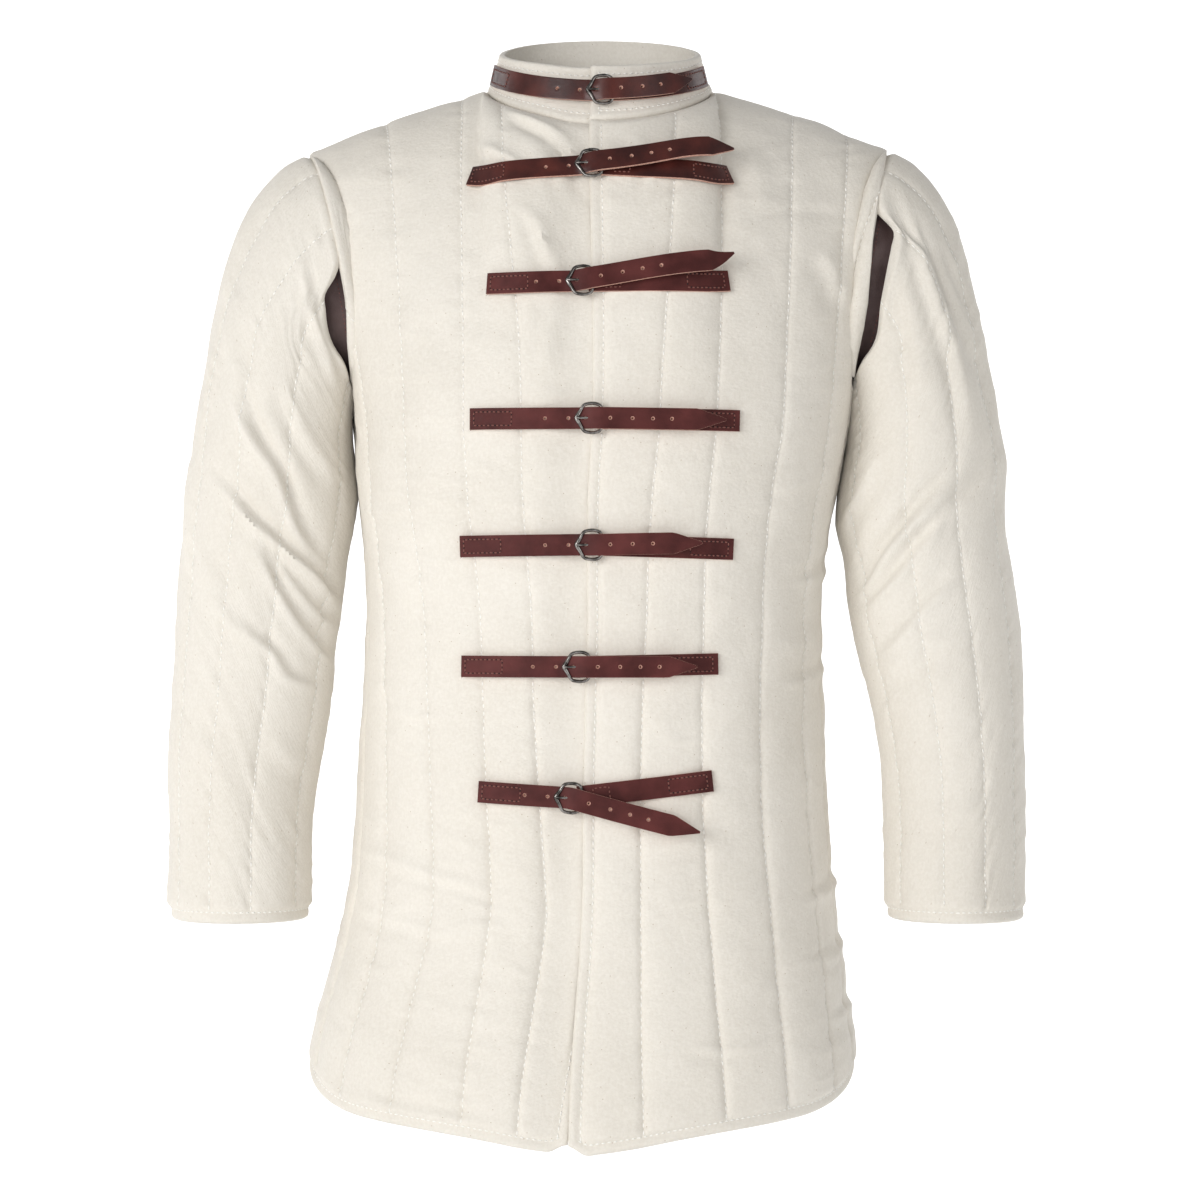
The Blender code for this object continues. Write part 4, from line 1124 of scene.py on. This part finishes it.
# %% Creases of the sleeves: path as turn and height, half width, height, bite
SLEEVE_CREASES = {
    1: [
        ([(92, -392), (118, -414), (150, -432)], 8, 2.2, 0.8),
        ([(14, -240), (20, -290), (30, -340)], 9, 1.8, 0.6),
        ([(120, -250), (140, -290), (168, -330)], 7, 2.2, 0.8),
        ([(60, -450), (84, -470), (110, -480)], 10, 1.5, 0.6),
        ([(70, -520), (96, -534), (130, -540)], 10, 1.2, 0.6),
        ([(250, -280), (222, -320), (192, -360)], 8, 3.0, 0.8),
        ([(262, -330), (230, -370), (196, -402)], 8, 2.8, 0.8),
        ([(300, -110), (296, -180), (286, -250)], 9, 2.2, 0.7),
        ([(270, -420), (236, -444), (200, -456)], 9, 1.8, 0.7),
    ],
    -1: [
        ([(96, -200), (112, -240), (146, -290)], 7, 2.4, 0.8),
        ([(10, -250), (18, -300), (28, -350)], 9, 1.8, 0.6),
        ([(52, -470), (76, -500), (84, -560)], 10, 1.4, 0.5),
        ([(110, -470), (130, -490), (160, -500)], 9, 1.5, 0.6),
        ([(252, -290), (224, -326), (190, -366)], 8, 3.0, 0.8),
        ([(266, -336), (232, -374), (198, -408)], 8, 2.8, 0.8),
        ([(304, -120), (298, -190), (288, -255)], 9, 2.2, 0.7),
    ],
}

# %% Folds on the front of the sleeves, as seen from the front: across, height
SLEEVE_FRONT_CREASES = {
    1: [
        ([(223, -40), (245, -112), (269, -192), (279, -262)], 5.0, 3.4, 0.9),
        ([(233, -50), (265, -132), (295, -204), (303, -240)], 5.0, 3.2, 0.9),
        ([(252, -80), (281, -144), (300, -212)], 4.5, 2.8, 0.9),
        ([(228, -122), (240, -170), (246, -226)], 6.0, 2.0, 0.7),
        ([(272, -272), (237, -312), (209, -355)], 4.5, 4.6, 1.0),
        ([(270, -281), (228, -330), (201, -381)], 4.0, 3.8, 1.0),
        ([(261, -310), (240, -340), (202, -391)], 4.5, 4.4, 1.0),
        ([(273, -353), (247, -380), (213, -425)], 5.0, 3.4, 0.9),
        ([(306, -250), (290, -286), (262, -312)], 6.0, 2.6, 0.8),
    ],
    -1: [
        ([(300, -267), (264, -311), (224, -351), (202, -383)], 4.0, 5.2, 1.0),
        ([(276, -203), (269, -236), (248, -275), (232, -323), (208, -359)], 4.5, 4.8, 1.0),
        ([(284, -383), (252, -411), (240, -431), (212, -442)], 4.5, 3.4, 0.9),
        ([(268, -318), (240, -379), (206, -431)], 4.0, 4.2, 1.0),
        ([(262, -322), (228, -372), (204, -400)], 3.5, 2.8, 0.9),
        ([(256, -52), (279, -116), (282, -146)], 5.0, 2.8, 0.8),
        ([(228, -104), (220, -148), (210, -188), (206, -212)], 4.5, 2.8, 0.9),
        ([(282, -152), (272, -204), (263, -251), (261, -270)], 5.5, 2.8, 0.8),
        ([(290, -172), (296, -212), (303, -252)], 5.0, 2.4, 0.8),
        ([(300, -330), (290, -370), (276, -402)], 6.0, 1.8, 0.7),
    ],
}

# %% Ease of the sleeves: height, then how far the body side and the outer side lie out
SLEEVE_EASE = {
    1: [(-25, 0, 0), (-40, 0, -3.5), (-86, 0, -7), (-141, 0, -10), (-178, 0, -10),
        (-186, -5, -9.5), (-205, -8, -7), (-230, -9.5, -3.5), (-262, -9, -1), (-290, -8, -2),
        (-310, -6, -3), (-333, -3, -4.5),
        (-360, -3, -4), (-406, -4, -2.5), (-452, -1, -4), (-497, 1, -5.5), (-543, 0, -8),
        (-580, -1, -8.5), (-625, -1, -6)],
    -1: [(-25, 0, 0), (-40, 0, -3.5), (-86, 0, -5.5), (-123, 0, -5), (-178, 0, -3),
         (-186, -5, -3), (-205, -8, -2.5), (-230, -10, -2), (-262, -9, -2.5), (-290, -7.5, -3),
         (-310, -5, -3), (-333, -2, -2.5),
         (-360, -2, -2.5), (-406, -3, -3), (-430, -4, -3.5), (-452, -2, -4.5), (-480, 2.5, -4.5),
         (-510, 4.5, -4.5), (-543, 5, -5), (-580, 3, -7), (-625, -1, -6)],
}

# %% Cut and sew the sleeves
SLEEVE_STEPS = 15
CAP_ROWS = 84
ARM_ROWS = 132
SLEEVE_DEPTH = 0.55
CUFF_LENGTH = 378.0
CUFF_ROW = -8


def cut_sleeve(side):
    turns = []
    for low, high in zip(SLEEVE_LINES, SLEEVE_LINES[1:]):
        turns.extend(low + (high - low) * spread(SLEEVE_STEPS))
    turns.append(SLEEVE_LINES[0] + 360.0)
    turns = np.array(turns)
    cuff = [2.0 - r / CUFF_LENGTH for r in EDGE_RUNS][::-1]
    levels = np.concatenate([np.linspace(0.0, 1.0, CAP_ROWS),
                             np.linspace(1.0, cuff[0], ARM_ROWS)[1:], cuff[1:]])
    places = np.tile(turns, (len(levels), 1))
    points, outs = on_form(sleeve_forms[side], places, levels)
    ease = table_row(SLEEVE_EASE[side], points[..., 2])
    outer_share = (1 + np.cos(np.radians(places))) / 2
    points[..., 0] += side * (ease[..., 0] * (1 - outer_share) + ease[..., 1] * outer_share)
    points[:, -1], outs[:, -1] = points[:, 0], outs[:, 0]
    columns = [k * SLEEVE_STEPS for k in range(len(SLEEVE_LINES))]
    thick, over, up = padding(points, columns, {"low": "seam", "high": "border"}, 31 + side,
                              SLEEVE_DEPTH)
    thick[:, -1] = thick[:, 0]
    folds = crease_field(places, points[..., 2], [
        (path, width * 0.85, height * 1.15, bite)
        for path, width, height, bite in SLEEVE_CREASES[side]])
    seen = crease_field(side * points[..., 0], points[..., 2], SLEEVE_FRONT_CREASES[side])
    folds = np.clip(folds + seen * smoothstep(0.15 - 2.2 * outs[..., 1]), -5.0, 6.5)
    soft = smoothstep(up / SOFT_EDGE) * smoothstep((up[-1:] - up) / SOFT_EDGE)
    spin = np.radians(places)
    sag = uneven(3.0 + 1.6 * np.cos(spin), points[..., 2] / 60.0, 15 + side) * 1.2
    sag += uneven(3.0 + 1.6 * np.sin(spin), points[..., 2] / 60.0, 25 + side) * 1.0
    sag[:, -1], folds[:, -1] = sag[:, 0], folds[:, 0]
    inner = points + outs * (np.minimum(sag + 0.7 * folds, 4.0) * soft)[..., None]
    outer = points + outs * (thick + (sag + folds) * soft)[..., None]
    return inner, outer, over, up, columns, outs


for side, name in ((1, "sleeve_left"), (-1, "sleeve_right")):
    grids = cut_sleeve(side)
    wall, thread = sew_panel(name, grids, slice(None, CUFF_ROW), grids[4][:-1],
                             (CUFF_ROW, slice(None)), closed=True)

# %% [markdown]
# ## Standing collar
# The collar is a thinner padded band with a turned, topstitched border all round. It stands
# on the neck seam and its left end laps over its right end at the front.

# %% Cut and sew the collar
COLLAR_STEPS = 230
COLLAR_ROWS = 30
COLLAR_PAD = 3.4
COLLAR_SEAM = 6.5
COLLAR_STITCHES = (4.6, 3.2, STITCH_THICK, STITCH_LIFT)


def collar_ends():
    right = -90.0 * RIGHT_FRONT_LINES[0][-1] / NECK_SHARE
    left = 90.0 * LEFT_FRONT_LINES[0][-1] / NECK_SHARE
    return right, left - 360.0


def cut_collar():
    tucked, lapped = collar_ends()
    turns = np.linspace(tucked, lapped, COLLAR_STEPS)
    rises = np.linspace(0.0, 1.0, COLLAR_ROWS)
    places = np.tile(turns, (COLLAR_ROWS, 1))[:, ::-1]
    points, outs = on_form(collar_form, places, rises)
    over, up = run_lengths(points, 1), run_lengths(points, 0)
    sink = np.where(places > -90.0, lap_sink(points), 0.0)
    points = points - outs * sink[..., None]
    thick = np.full(over.shape, COLLAR_PAD)
    fade = np.ones_like(over)
    rolls = np.zeros_like(over)
    for away in (over, over[:, -1:] - over, up, up[-1:] - up):
        roll, rounding = border_roll(away * 1.25)
        thick *= 0.4 + 0.6 * rounding
        fade *= smoothstep((away - 5.5) / 5.0)
        rolls = np.maximum(rolls, roll)
    pucker = uneven(over / 7.0, up / 26.0, 41) * 0.35 + uneven(over / 30.0, up / 20.0, 42) * 0.5
    thick = thick + fade * (0.9 + pucker * 0.8) + 0.7 * rolls
    return points, points + outs * thick[..., None], over, up, outs


inner, outer, over, up, outs = cut_collar()
collar_cloth = cloth_wall("collar_cloth", inner, outer, over, up, cotton)
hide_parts("collar")
sewn_low = int(np.argmin(abs(up[:, COLLAR_STEPS // 2] - COLLAR_SEAM)))
sewn_side = int(np.argmin(abs(over[COLLAR_ROWS // 2] - COLLAR_SEAM)))
collar_thread = lay_thread("collar_thread", [
    along_path(outer[r, 3:-3], outs[r, 3:-3], *COLLAR_STITCHES)
    for r in (sewn_low, COLLAR_ROWS - 1 - sewn_low)] + [
    along_path(outer[2:-2, c], outs[2:-2, c], *COLLAR_STITCHES)
    for c in (sewn_side, COLLAR_STEPS - 1 - sewn_side)], cotton_thread)
print("collar area:", round(sum(f.area for f in collar_cloth.data.polygons) / 2, 4),
      "long:", round(over[:, -1].max() * MM, 3), "high:", round(up[-1].max() * MM, 3))

# %% [markdown]
# ## Leather: cut flat, punched, then laid on the jacket
# A strap is drawn flat first: its outline, its pointed tip and its punched holes. Then every
# point is carried along the strap's own line over the chest, up through the buckle and down
# on the tab. The dye stays on the face, and the cut edges keep the paler finish.

# %% Places on the fronts and the collar, seen from the front


def front_surface(across, height):
    share, level = across / 285.0, 1.0 + (height - JOIN_HEIGHT) / 240.0
    if height < JOIN_HEIGHT:
        level = 1.0 - (JOIN_HEIGHT - height) / 535.0
    for _ in range(12):
        here = lining_point(share, level, -1)
        miss = np.array([across - here[0], height - here[2]])
        if np.abs(miss).max() < 0.01:
            break
        e = 0.003
        by_share = (lining_point(share + e, level, -1) - here) / e
        by_level = (lining_point(share, level + e, -1) - here) / e
        slope = np.array([[by_share[0], by_level[0]], [by_share[2], by_level[2]]])
        share, level = np.array([share, level]) + np.linalg.solve(slope, miss)
        level = min(max(level, 0.0), 1.98)
    return lining_point(share, level, -1), body_outward(share, level, -1)


def collar_surface(along, height):
    turn, rise = math.degrees(along / COLLAR_RADIUS), height / COLLAR_HEIGHT
    return collar_point(turn, rise), collar_outward(turn, rise)


def lie(surface, route):
    """Centres, half widths and outward directions along a strap's route."""
    found = [surface(across, height) for across, height, _ in route]
    normals = np.array([out for _, out in found])
    centres = np.array([point + out * row[2] for (point, out), row in zip(found, route)])
    runs = np.gradient(centres, axis=0)
    sides = unit(np.cross(normals, runs)) * STRAP_WIDTH / 2
    return centres, sides, unit(np.cross(runs, sides))


# %% Closures: sewn end, buckle, tip and tab end as (across, height), how far the tip stands off
STRAP_WIDTH = 16.0
THROAT_CLOSURES = (1, 2)
LOOSE_THREADS = (3, 4, 5, 6)
CLOTH_TOP = QUILT_GROOVE + QUILT_PUFF + 1.0
COLLAR_TOP = COLLAR_WALL + 2.6
CLOSURES = [
    (2, (-96, -55), (-7, -48), (85, -38), (96, -54), 7.0),
    (3, (-80, -137), (-14, -136), (95, -118), (94, -135), 6.0),
    (4, (-94, -237), (-7, -237), (88, -238), (101, -238), 5.5),
    (5, (-101, -331), (-7, -330), (71, -328), (96, -333), 5.5),
    (6, (-100, -421), (-16, -421), (67, -421), (85, -419), 5.5),
    (7, (-88, -514), (-22, -518), (69, -544), (81, -506), 6.0),
    (1, (-110, 23), (1, 23), (71, 24), (104, 23), 1.0),
]
STRAP_HOLES = (-33.0, -16.0, 16.5, 33.0, 48.0, 62.0)
HOLE_RADIUS = 1.35
HOLE_WORN = (1.05, 0.45)
LAST_HOLE = 24.0
TIP_LENGTH = 21.0
TIP_SHARE = 0.10
BUCKLE_OUTLINE = [(-10.5, 0.0), (-7.7, 4.6), (-4.8, 9.4), (-0.5, 10.7), (3.8, 10.6), (7.4, 8.8),
                  (8.6, 4.0), (8.6, -4.0), (7.4, -8.8), (3.8, -10.6), (-0.5, -10.7),
                  (-4.8, -9.4), (-7.7, -4.6)]
BUCKLE_WIRE = 1.0
BUCKLE_LIFT = LEATHER + BUCKLE_WIRE + 1.0
TAIL_LIFT = BUCKLE_LIFT + BUCKLE_WIRE + 0.45
CLIMB_FROM = 9.5
TAB_START = 5.5
CLIMB = ((-6.2, 0.06), (-4.0, 0.42), (1.0, 0.84), (6.0, 1.0))
PRONG_RADIUS = 0.85
PRONG_OVER = BUCKLE_WIRE + PRONG_RADIUS * 0.8 + 0.35
PRONG_BENDS = [(7.1, -0.5), (2.6, -0.5), (-2.6, 1.2), (-7.0, PRONG_OVER), (-11.2, PRONG_OVER)]

# %% Flat leather: outline, lanes and punched holes


def flat_leather(length, holes):
    """A flat strap: x runs along it from 0, y across it; each hole is punched through."""
    stops = {0.0, 0.8, length - 0.8, length}
    for h in holes:
        stops |= {h - 2.6, h + 2.6}
    stops |= {s for s in np.arange(3.6, length - 2.0, 3.2) if all(abs(s - h) > 3.4 for h in holes)}
    stops = sorted(stops)
    lanes = [-1.0, -0.9, -0.6, -5.2 / STRAP_WIDTH, 5.2 / STRAP_WIDTH, 0.6, 0.9, 1.0]
    bm = bmesh.new()
    bmesh.ops.create_grid(bm, x_segments=len(stops) - 1, y_segments=len(lanes) - 1, size=1.0)
    for v in bm.verts:
        i = round((v.co.x + 1) / 2 * (len(stops) - 1))
        j = round((v.co.y + 1) / 2 * (len(lanes) - 1))
        v.co = (stops[i], lanes[j] * STRAP_WIDTH / 2, 0.0)
    for h in holes:
        def nearest():
            return min(bm.faces, key=lambda f: math.hypot(f.calc_center_median().x - h,
                                                          f.calc_center_median().y))
        bmesh.ops.subdivide_edges(bm, edges=nearest().edges[:], cuts=1)
        cell = nearest()
        bmesh.ops.inset_individual(bm, faces=[cell], thickness=0.5)
        for v in cell.verts:
            dx, dy = v.co.x - h, v.co.y
            v.co.x = h + dx / math.hypot(dx, dy) * HOLE_RADIUS
            v.co.y = dy / math.hypot(dx, dy) * HOLE_RADIUS
        bmesh.ops.delete(bm, geom=[cell], context="FACES_ONLY")
    return bm


def taper(bm, start, length, tip):
    for v in bm.verts:
        t = (v.co.x - start) / (length - start)
        if t > 0:
            v.co.y *= 1.0 - t * (1.0 - tip)


# %% Lay flat leather along a line
RISE = 2.6
WORN_FROM = 12.0
RIM = 0.34


class Line:
    """A strap's line in space, read by distance along it, with its sides and upward way."""

    def __init__(self, centres, sides, tops):
        steps = np.linalg.norm(np.diff(centres, axis=0), axis=1)
        self.run = np.concatenate([[0.0], np.cumsum(steps)])
        self.rows = np.concatenate([centres, unit(sides), tops], axis=1)
        self.length = float(self.run[-1])

    def place(self, x, y, up):
        row = between(self.run, self.rows, np.atleast_1d(np.asarray(x, float)))
        y, up = np.atleast_1d(y)[:, None], np.atleast_1d(up)[:, None]
        return row[:, :3] + unit(row[:, 3:6]) * y + unit(row[:, 6:]) * up


def lay_leather(name, bm, line, leather, holes=(), rise_at=None):
    """Extrudes flat leather through its thickness, lays it on its line and softens its edges.

    A punched hole is worn wider on the face, so its pale raw wall shows. Where the strap
    rises through its buckle, its middle stands up, and its rim is worn pale from there on."""
    place = bm.verts.layers.float_vector.new("flat")
    for v in bm.verts:
        v[place] = v.co
    made = bmesh.ops.extrude_face_region(bm, geom=bm.faces[:], use_keep_orig=True)
    upper = {g for g in made["geom"] if isinstance(g, bmesh.types.BMVert)}
    verts = list(bm.verts)
    flat = np.array([v[place][:] for v in verts])
    heights = np.array([LEATHER if v in upper else 0.0 for v in verts])
    for h in holes:
        ring = np.hypot(flat[:, 0] - h, flat[:, 1]) < HOLE_RADIUS + 0.05
        wider = np.where(heights[ring] > 0, *HOLE_WORN)
        flat[ring, 0] = h + (flat[ring, 0] - h) * wider
        flat[ring, 1] *= wider
    if rise_at is not None:
        heights = heights + RISE * np.exp(-((flat[:, 0] - rise_at) / 2.2) ** 2) * np.clip(
            1.0 - (flat[:, 1] / 7.5) ** 2, 0.0, 1.0)
    spots = line.place(flat[:, 0], flat[:, 1], heights)
    for v, spot in zip(verts, spots):
        v.co = spot * MM
    for face in bm.faces:
        face.material_index = 0 if all(v in upper for v in face.verts) else 1
    rim = [e for e in bm.edges if len(e.link_faces) == 2
           and {f.material_index for f in e.link_faces} == {0, 1}]
    bmesh.ops.recalc_face_normals(bm, faces=bm.faces)
    rounded = bmesh.ops.bevel(bm, geom=rim, offset=RIM * MM, offset_type="OFFSET", segments=2,
                              profile=0.5, affect="EDGES", material=-1, clamp_overlap=True)
    for face in rounded["faces"]:
        if rise_at is not None and face.verts[0][place].x > rise_at + WORN_FROM:
            face.material_index = 1
    piece = finish_piece(name, bm, leather, cut_edge, sharp=50.0)
    return piece


# %% Wire: a round bar bent along a path


def bend_wire(name, path, radii, facing, closed=False, sides=12):
    """A round bar: a grid wrapped round a path, its long edges and ends welded."""
    path, radii = np.asarray(path), np.asarray(radii, float)
    count = len(path)
    before = np.roll(path, 1, axis=0) if closed else np.concatenate([path[:1], path[:-1]])
    after = np.roll(path, -1, axis=0) if closed else np.concatenate([path[1:], path[-1:]])
    run = unit(after - before)
    side = unit(np.cross(run, facing))
    up = np.cross(side, run)
    bm = bmesh.new()
    rows = count if closed else count - 1
    bmesh.ops.create_grid(bm, x_segments=sides, y_segments=rows, size=1.0)
    for v in bm.verts:
        turn = round((v.co.x + 1) / 2 * sides) % sides * 2 * math.pi / sides
        r = round((v.co.y + 1) / 2 * rows) % count
        v.co = (path[r] + radii[r] * (side[r] * math.cos(turn) + up[r] * math.sin(turn))) * MM
    bmesh.ops.remove_doubles(bm, verts=bm.verts, dist=0.03 * MM)
    loose = [e for e in bm.edges if len(e.link_faces) == 1]
    if loose:
        bmesh.ops.holes_fill(bm, edges=loose, sides=0)
    return finish_piece(name, bm, steel, sharp=50.0)


# %% Routes of a strap, its tab and its buckle, as in the CAD model


def strap_route(sewn_end, buckle, tip, stand_off, top):
    """Along the cloth, up through the buckle by the shares in CLIMB, and on to the tip."""
    pull, hang = unit(buckle - sewn_end), unit(tip - buckle)
    reach, tail = np.linalg.norm(buckle - sewn_end), np.linalg.norm(tip - buckle)
    past = CLIMB[-1][0]
    route = [(*(sewn_end + pull * (reach - CLIMB_FROM) * t), top)
             for t in np.linspace(0.0, 1.0, 7)]
    for along, share in CLIMB:
        way = pull if along < 0 else hang
        route.append((*(buckle + way * along), top + TAIL_LIFT * share))
    for t in np.linspace(0.0, 1.0, 8)[1:]:
        route.append((*(buckle + hang * (past + (tail - past) * t)),
                      top + TAIL_LIFT + stand_off * t * t))
    return route


def tab_route(buckle, tab_end, top):
    """From under the buckle's bar to the tab's sewn end."""
    pull, far = unit(tab_end - buckle), np.linalg.norm(tab_end - buckle)
    return [(*(buckle + pull * (TAB_START + (far - TAB_START) * t)), top)
            for t in np.linspace(0.0, 1.0, 8)]


BOX_PITCH = 3.4


def sewn_box(line, low, high, half, top, first=0.0, length=2.4, thick=0.60):
    """Stitches round a box on the face of a strap, or near-black beads of painted shade in the
    needle holes between them.
    """
    corners = [(low, -half), (high, -half), (high, half), (low, half), (low, -half)]
    spots = []
    for (x0, y0), (x1, y1) in zip(corners, corners[1:]):
        n = max(2, int(math.hypot(x1 - x0, y1 - y0) / 1.2))
        for t in np.linspace(0.0, 1.0, n):
            spots.append((x0 + (x1 - x0) * t, y0 + (y1 - y0) * t))
    spots = np.array(spots)
    path = line.place(spots[:, 0], spots[:, 1], np.full(len(spots), top))
    higher = line.place(spots[:, 0], spots[:, 1], np.full(len(spots), top + 1.0))
    return along_path(path, higher - path, BOX_PITCH, length, thick, 0.10, first)


# %% Bends of the buckle and its prong, as places along the strap and across or above it


def finer(points, count):
    marks = np.arange(len(points), dtype=float)
    return between(marks, np.array(points), np.linspace(0.0, marks[-1], count))


buckle_bends = finer(BUCKLE_OUTLINE + BUCKLE_OUTLINE[:1], 66)[:-1]
prong_bends = finer(PRONG_BENDS, 25)
buckle_radii = BUCKLE_WIRE * (1.28 + 0.45 * np.exp(-((buckle_bends[:, 0] + 10.0) / 2.2) ** 2))
prong_radii = PRONG_RADIUS * np.array([0.02, 0.7] + [1.0] * 19 + [0.9, 0.75, 0.5, 0.02])

# %% Make the closures
for number, *ends, stand_off in CLOSURES:
    sewn_end, buckle, tip, tab_end = (np.array(p, float) for p in ends)
    surface, top = (collar_surface, COLLAR_TOP) if number == 1 else (front_surface, CLOTH_TOP)
    leather = throat_leather if number in THROAT_CLOSURES else strap_leather
    line = Line(*lie(surface, strap_route(sewn_end, buckle, tip, stand_off, top)))
    middle, out = surface(*buckle)
    ahead, _ = surface(*(buckle + unit(buckle - sewn_end) * 4.0))
    along = unit(ahead - middle - out * np.dot(ahead - middle, out))
    across = np.cross(out, along)
    middle = middle + out * (top + BUCKLE_LIFT)
    at_buckle = float(line.run[8] + line.run[9]) / 2
    holes = [at_buckle - 1.0] + [at_buckle + h for h in STRAP_HOLES
                                 if at_buckle + h < line.length - LAST_HOLE]
    bm = flat_leather(line.length, holes)
    taper(bm, line.length - TIP_LENGTH, line.length, TIP_SHARE)
    strap = lay_leather(f"strap_leather_{number}", bm, line, leather, holes, at_buckle - 6.0)
    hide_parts(f"strap_{number}")
    tab_line = Line(*lie(surface, tab_route(buckle, tab_end, top)))
    tab = lay_leather(f"tab_leather_{number}", flat_leather(tab_line.length, []), tab_line,
                      leather)
    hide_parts(f"tab_{number}")
    boxes = [(line, 3.2, 32.0), (tab_line, tab_line.length - 34.0, tab_line.length - 4.5)]
    sewing = [sewn_box(*box, half, LEATHER) for box, half in zip(boxes, (5.0, 5.2))]
    sewing.append(sewn_box(tab_line, 12.0, 24.0, 5.0, LEATHER))
    if number in LOOSE_THREADS:
        loose = line.place([3.4, -1.6], [-5.2, -10.4], [LEATHER, 0.3])
        sewing.append(along_path(loose, loose * 0 + (0.0, -1.0, 0.0), 50.0, 6.0, 0.3, 0.1))
    thread = lay_thread(f"strap_thread_{number}", sewing, brown_thread)
    # Near-black beads between the stitches: painted shade in the needle holes.
    hole_shade_beads = [sewn_box(*box, 5.1, LEATHER - 0.1, 2.35, 1.2, 0.62) for box in boxes]
    needle_hole_shade = lay_thread(f"needle_hole_shade_{number}", hole_shade_beads, hole_shade_thread)
    ring = middle + buckle_bends[:, :1] * along + buckle_bends[:, 1:] * across
    frame_wire = bend_wire(f"buckle_wire_{number}", ring, buckle_radii, out, closed=True)
    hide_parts(f"buckle_{number}")
    path = middle + prong_bends[:, :1] * along + prong_bends[:, 1:] * out
    prong = bend_wire(f"prong_wire_{number}", path, prong_radii, across)
    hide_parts(f"prong_{number}")
print("closures:", len(CLOSURES), "strap length:", round(line.length), "mm")

# %% [markdown]
# ## Armpit edging
# The armpits are left open, so an arm can be raised without lifting the skirt. A strip of
# soft leather binds each opening and stands out a little towards the sleeve, with a row of
# dark stitches near its edge.

# %% Make the edging
EDGING_REACHES = (-EDGING_INSIDE, -1.0, 1.0, 3.0, 6.0, 9.0, 12.0, 16.0, 20.0, 22.5,
                  EDGING_OUTSIDE)
EDGING_SEAMS = (3, 8)
EDGING_STITCHES = (3.4, 2.3, 0.35, 0.05)


def edging_point(side, turn, reach):
    """Point on the edging's outer face, and the way out from the armhole's middle."""
    notch, radial = NOTCH_ANGLE[side], armhole_outward(side, turn)
    near = smoothstep((min(turn, 360.0 - turn) - notch) / 90.0)
    length = reach if reach < 5 else reach * (1.0 - 0.35 * near)
    inset = EDGING_INSET + 0.2 * max(reach, 0.0)
    wave = 0.5 * math.sin(turn * 0.21 + side) * smoothstep(reach / 20.0)
    return (armhole_point(side, turn) - radial * (inset + wave)
            + armhole_normal(side) * length), radial


for side, name in ((1, "left"), (-1, "right")):
    turns = np.linspace(NOTCH_ANGLE[side] + 3.0, 357.0 - NOTCH_ANGLE[side], 130)
    strip = np.array([[edging_point(side, turn, reach) for turn in turns]
                      for reach in EDGING_REACHES])
    outer, normals = strip[:, :, 0], strip[:, :, 1]
    inner = outer - normals * LEATHER
    over, up = run_lengths(outer, 1), run_lengths(outer, 0)
    edging = cloth_wall(f"armpit_edging_{name}_leather", inner, outer, over, up, edging_leather)
    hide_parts(f"armpit_edging_{name}")
    thread = lay_thread(f"armpit_edging_{name}_thread", [
        along_path(face[r], away[r], *EDGING_STITCHES)
        for face, away in ((outer, normals), (inner, -normals)) for r in EDGING_SEAMS],
        brown_thread)
print("edging: two strips of", round(over[0, -1]), "mm")
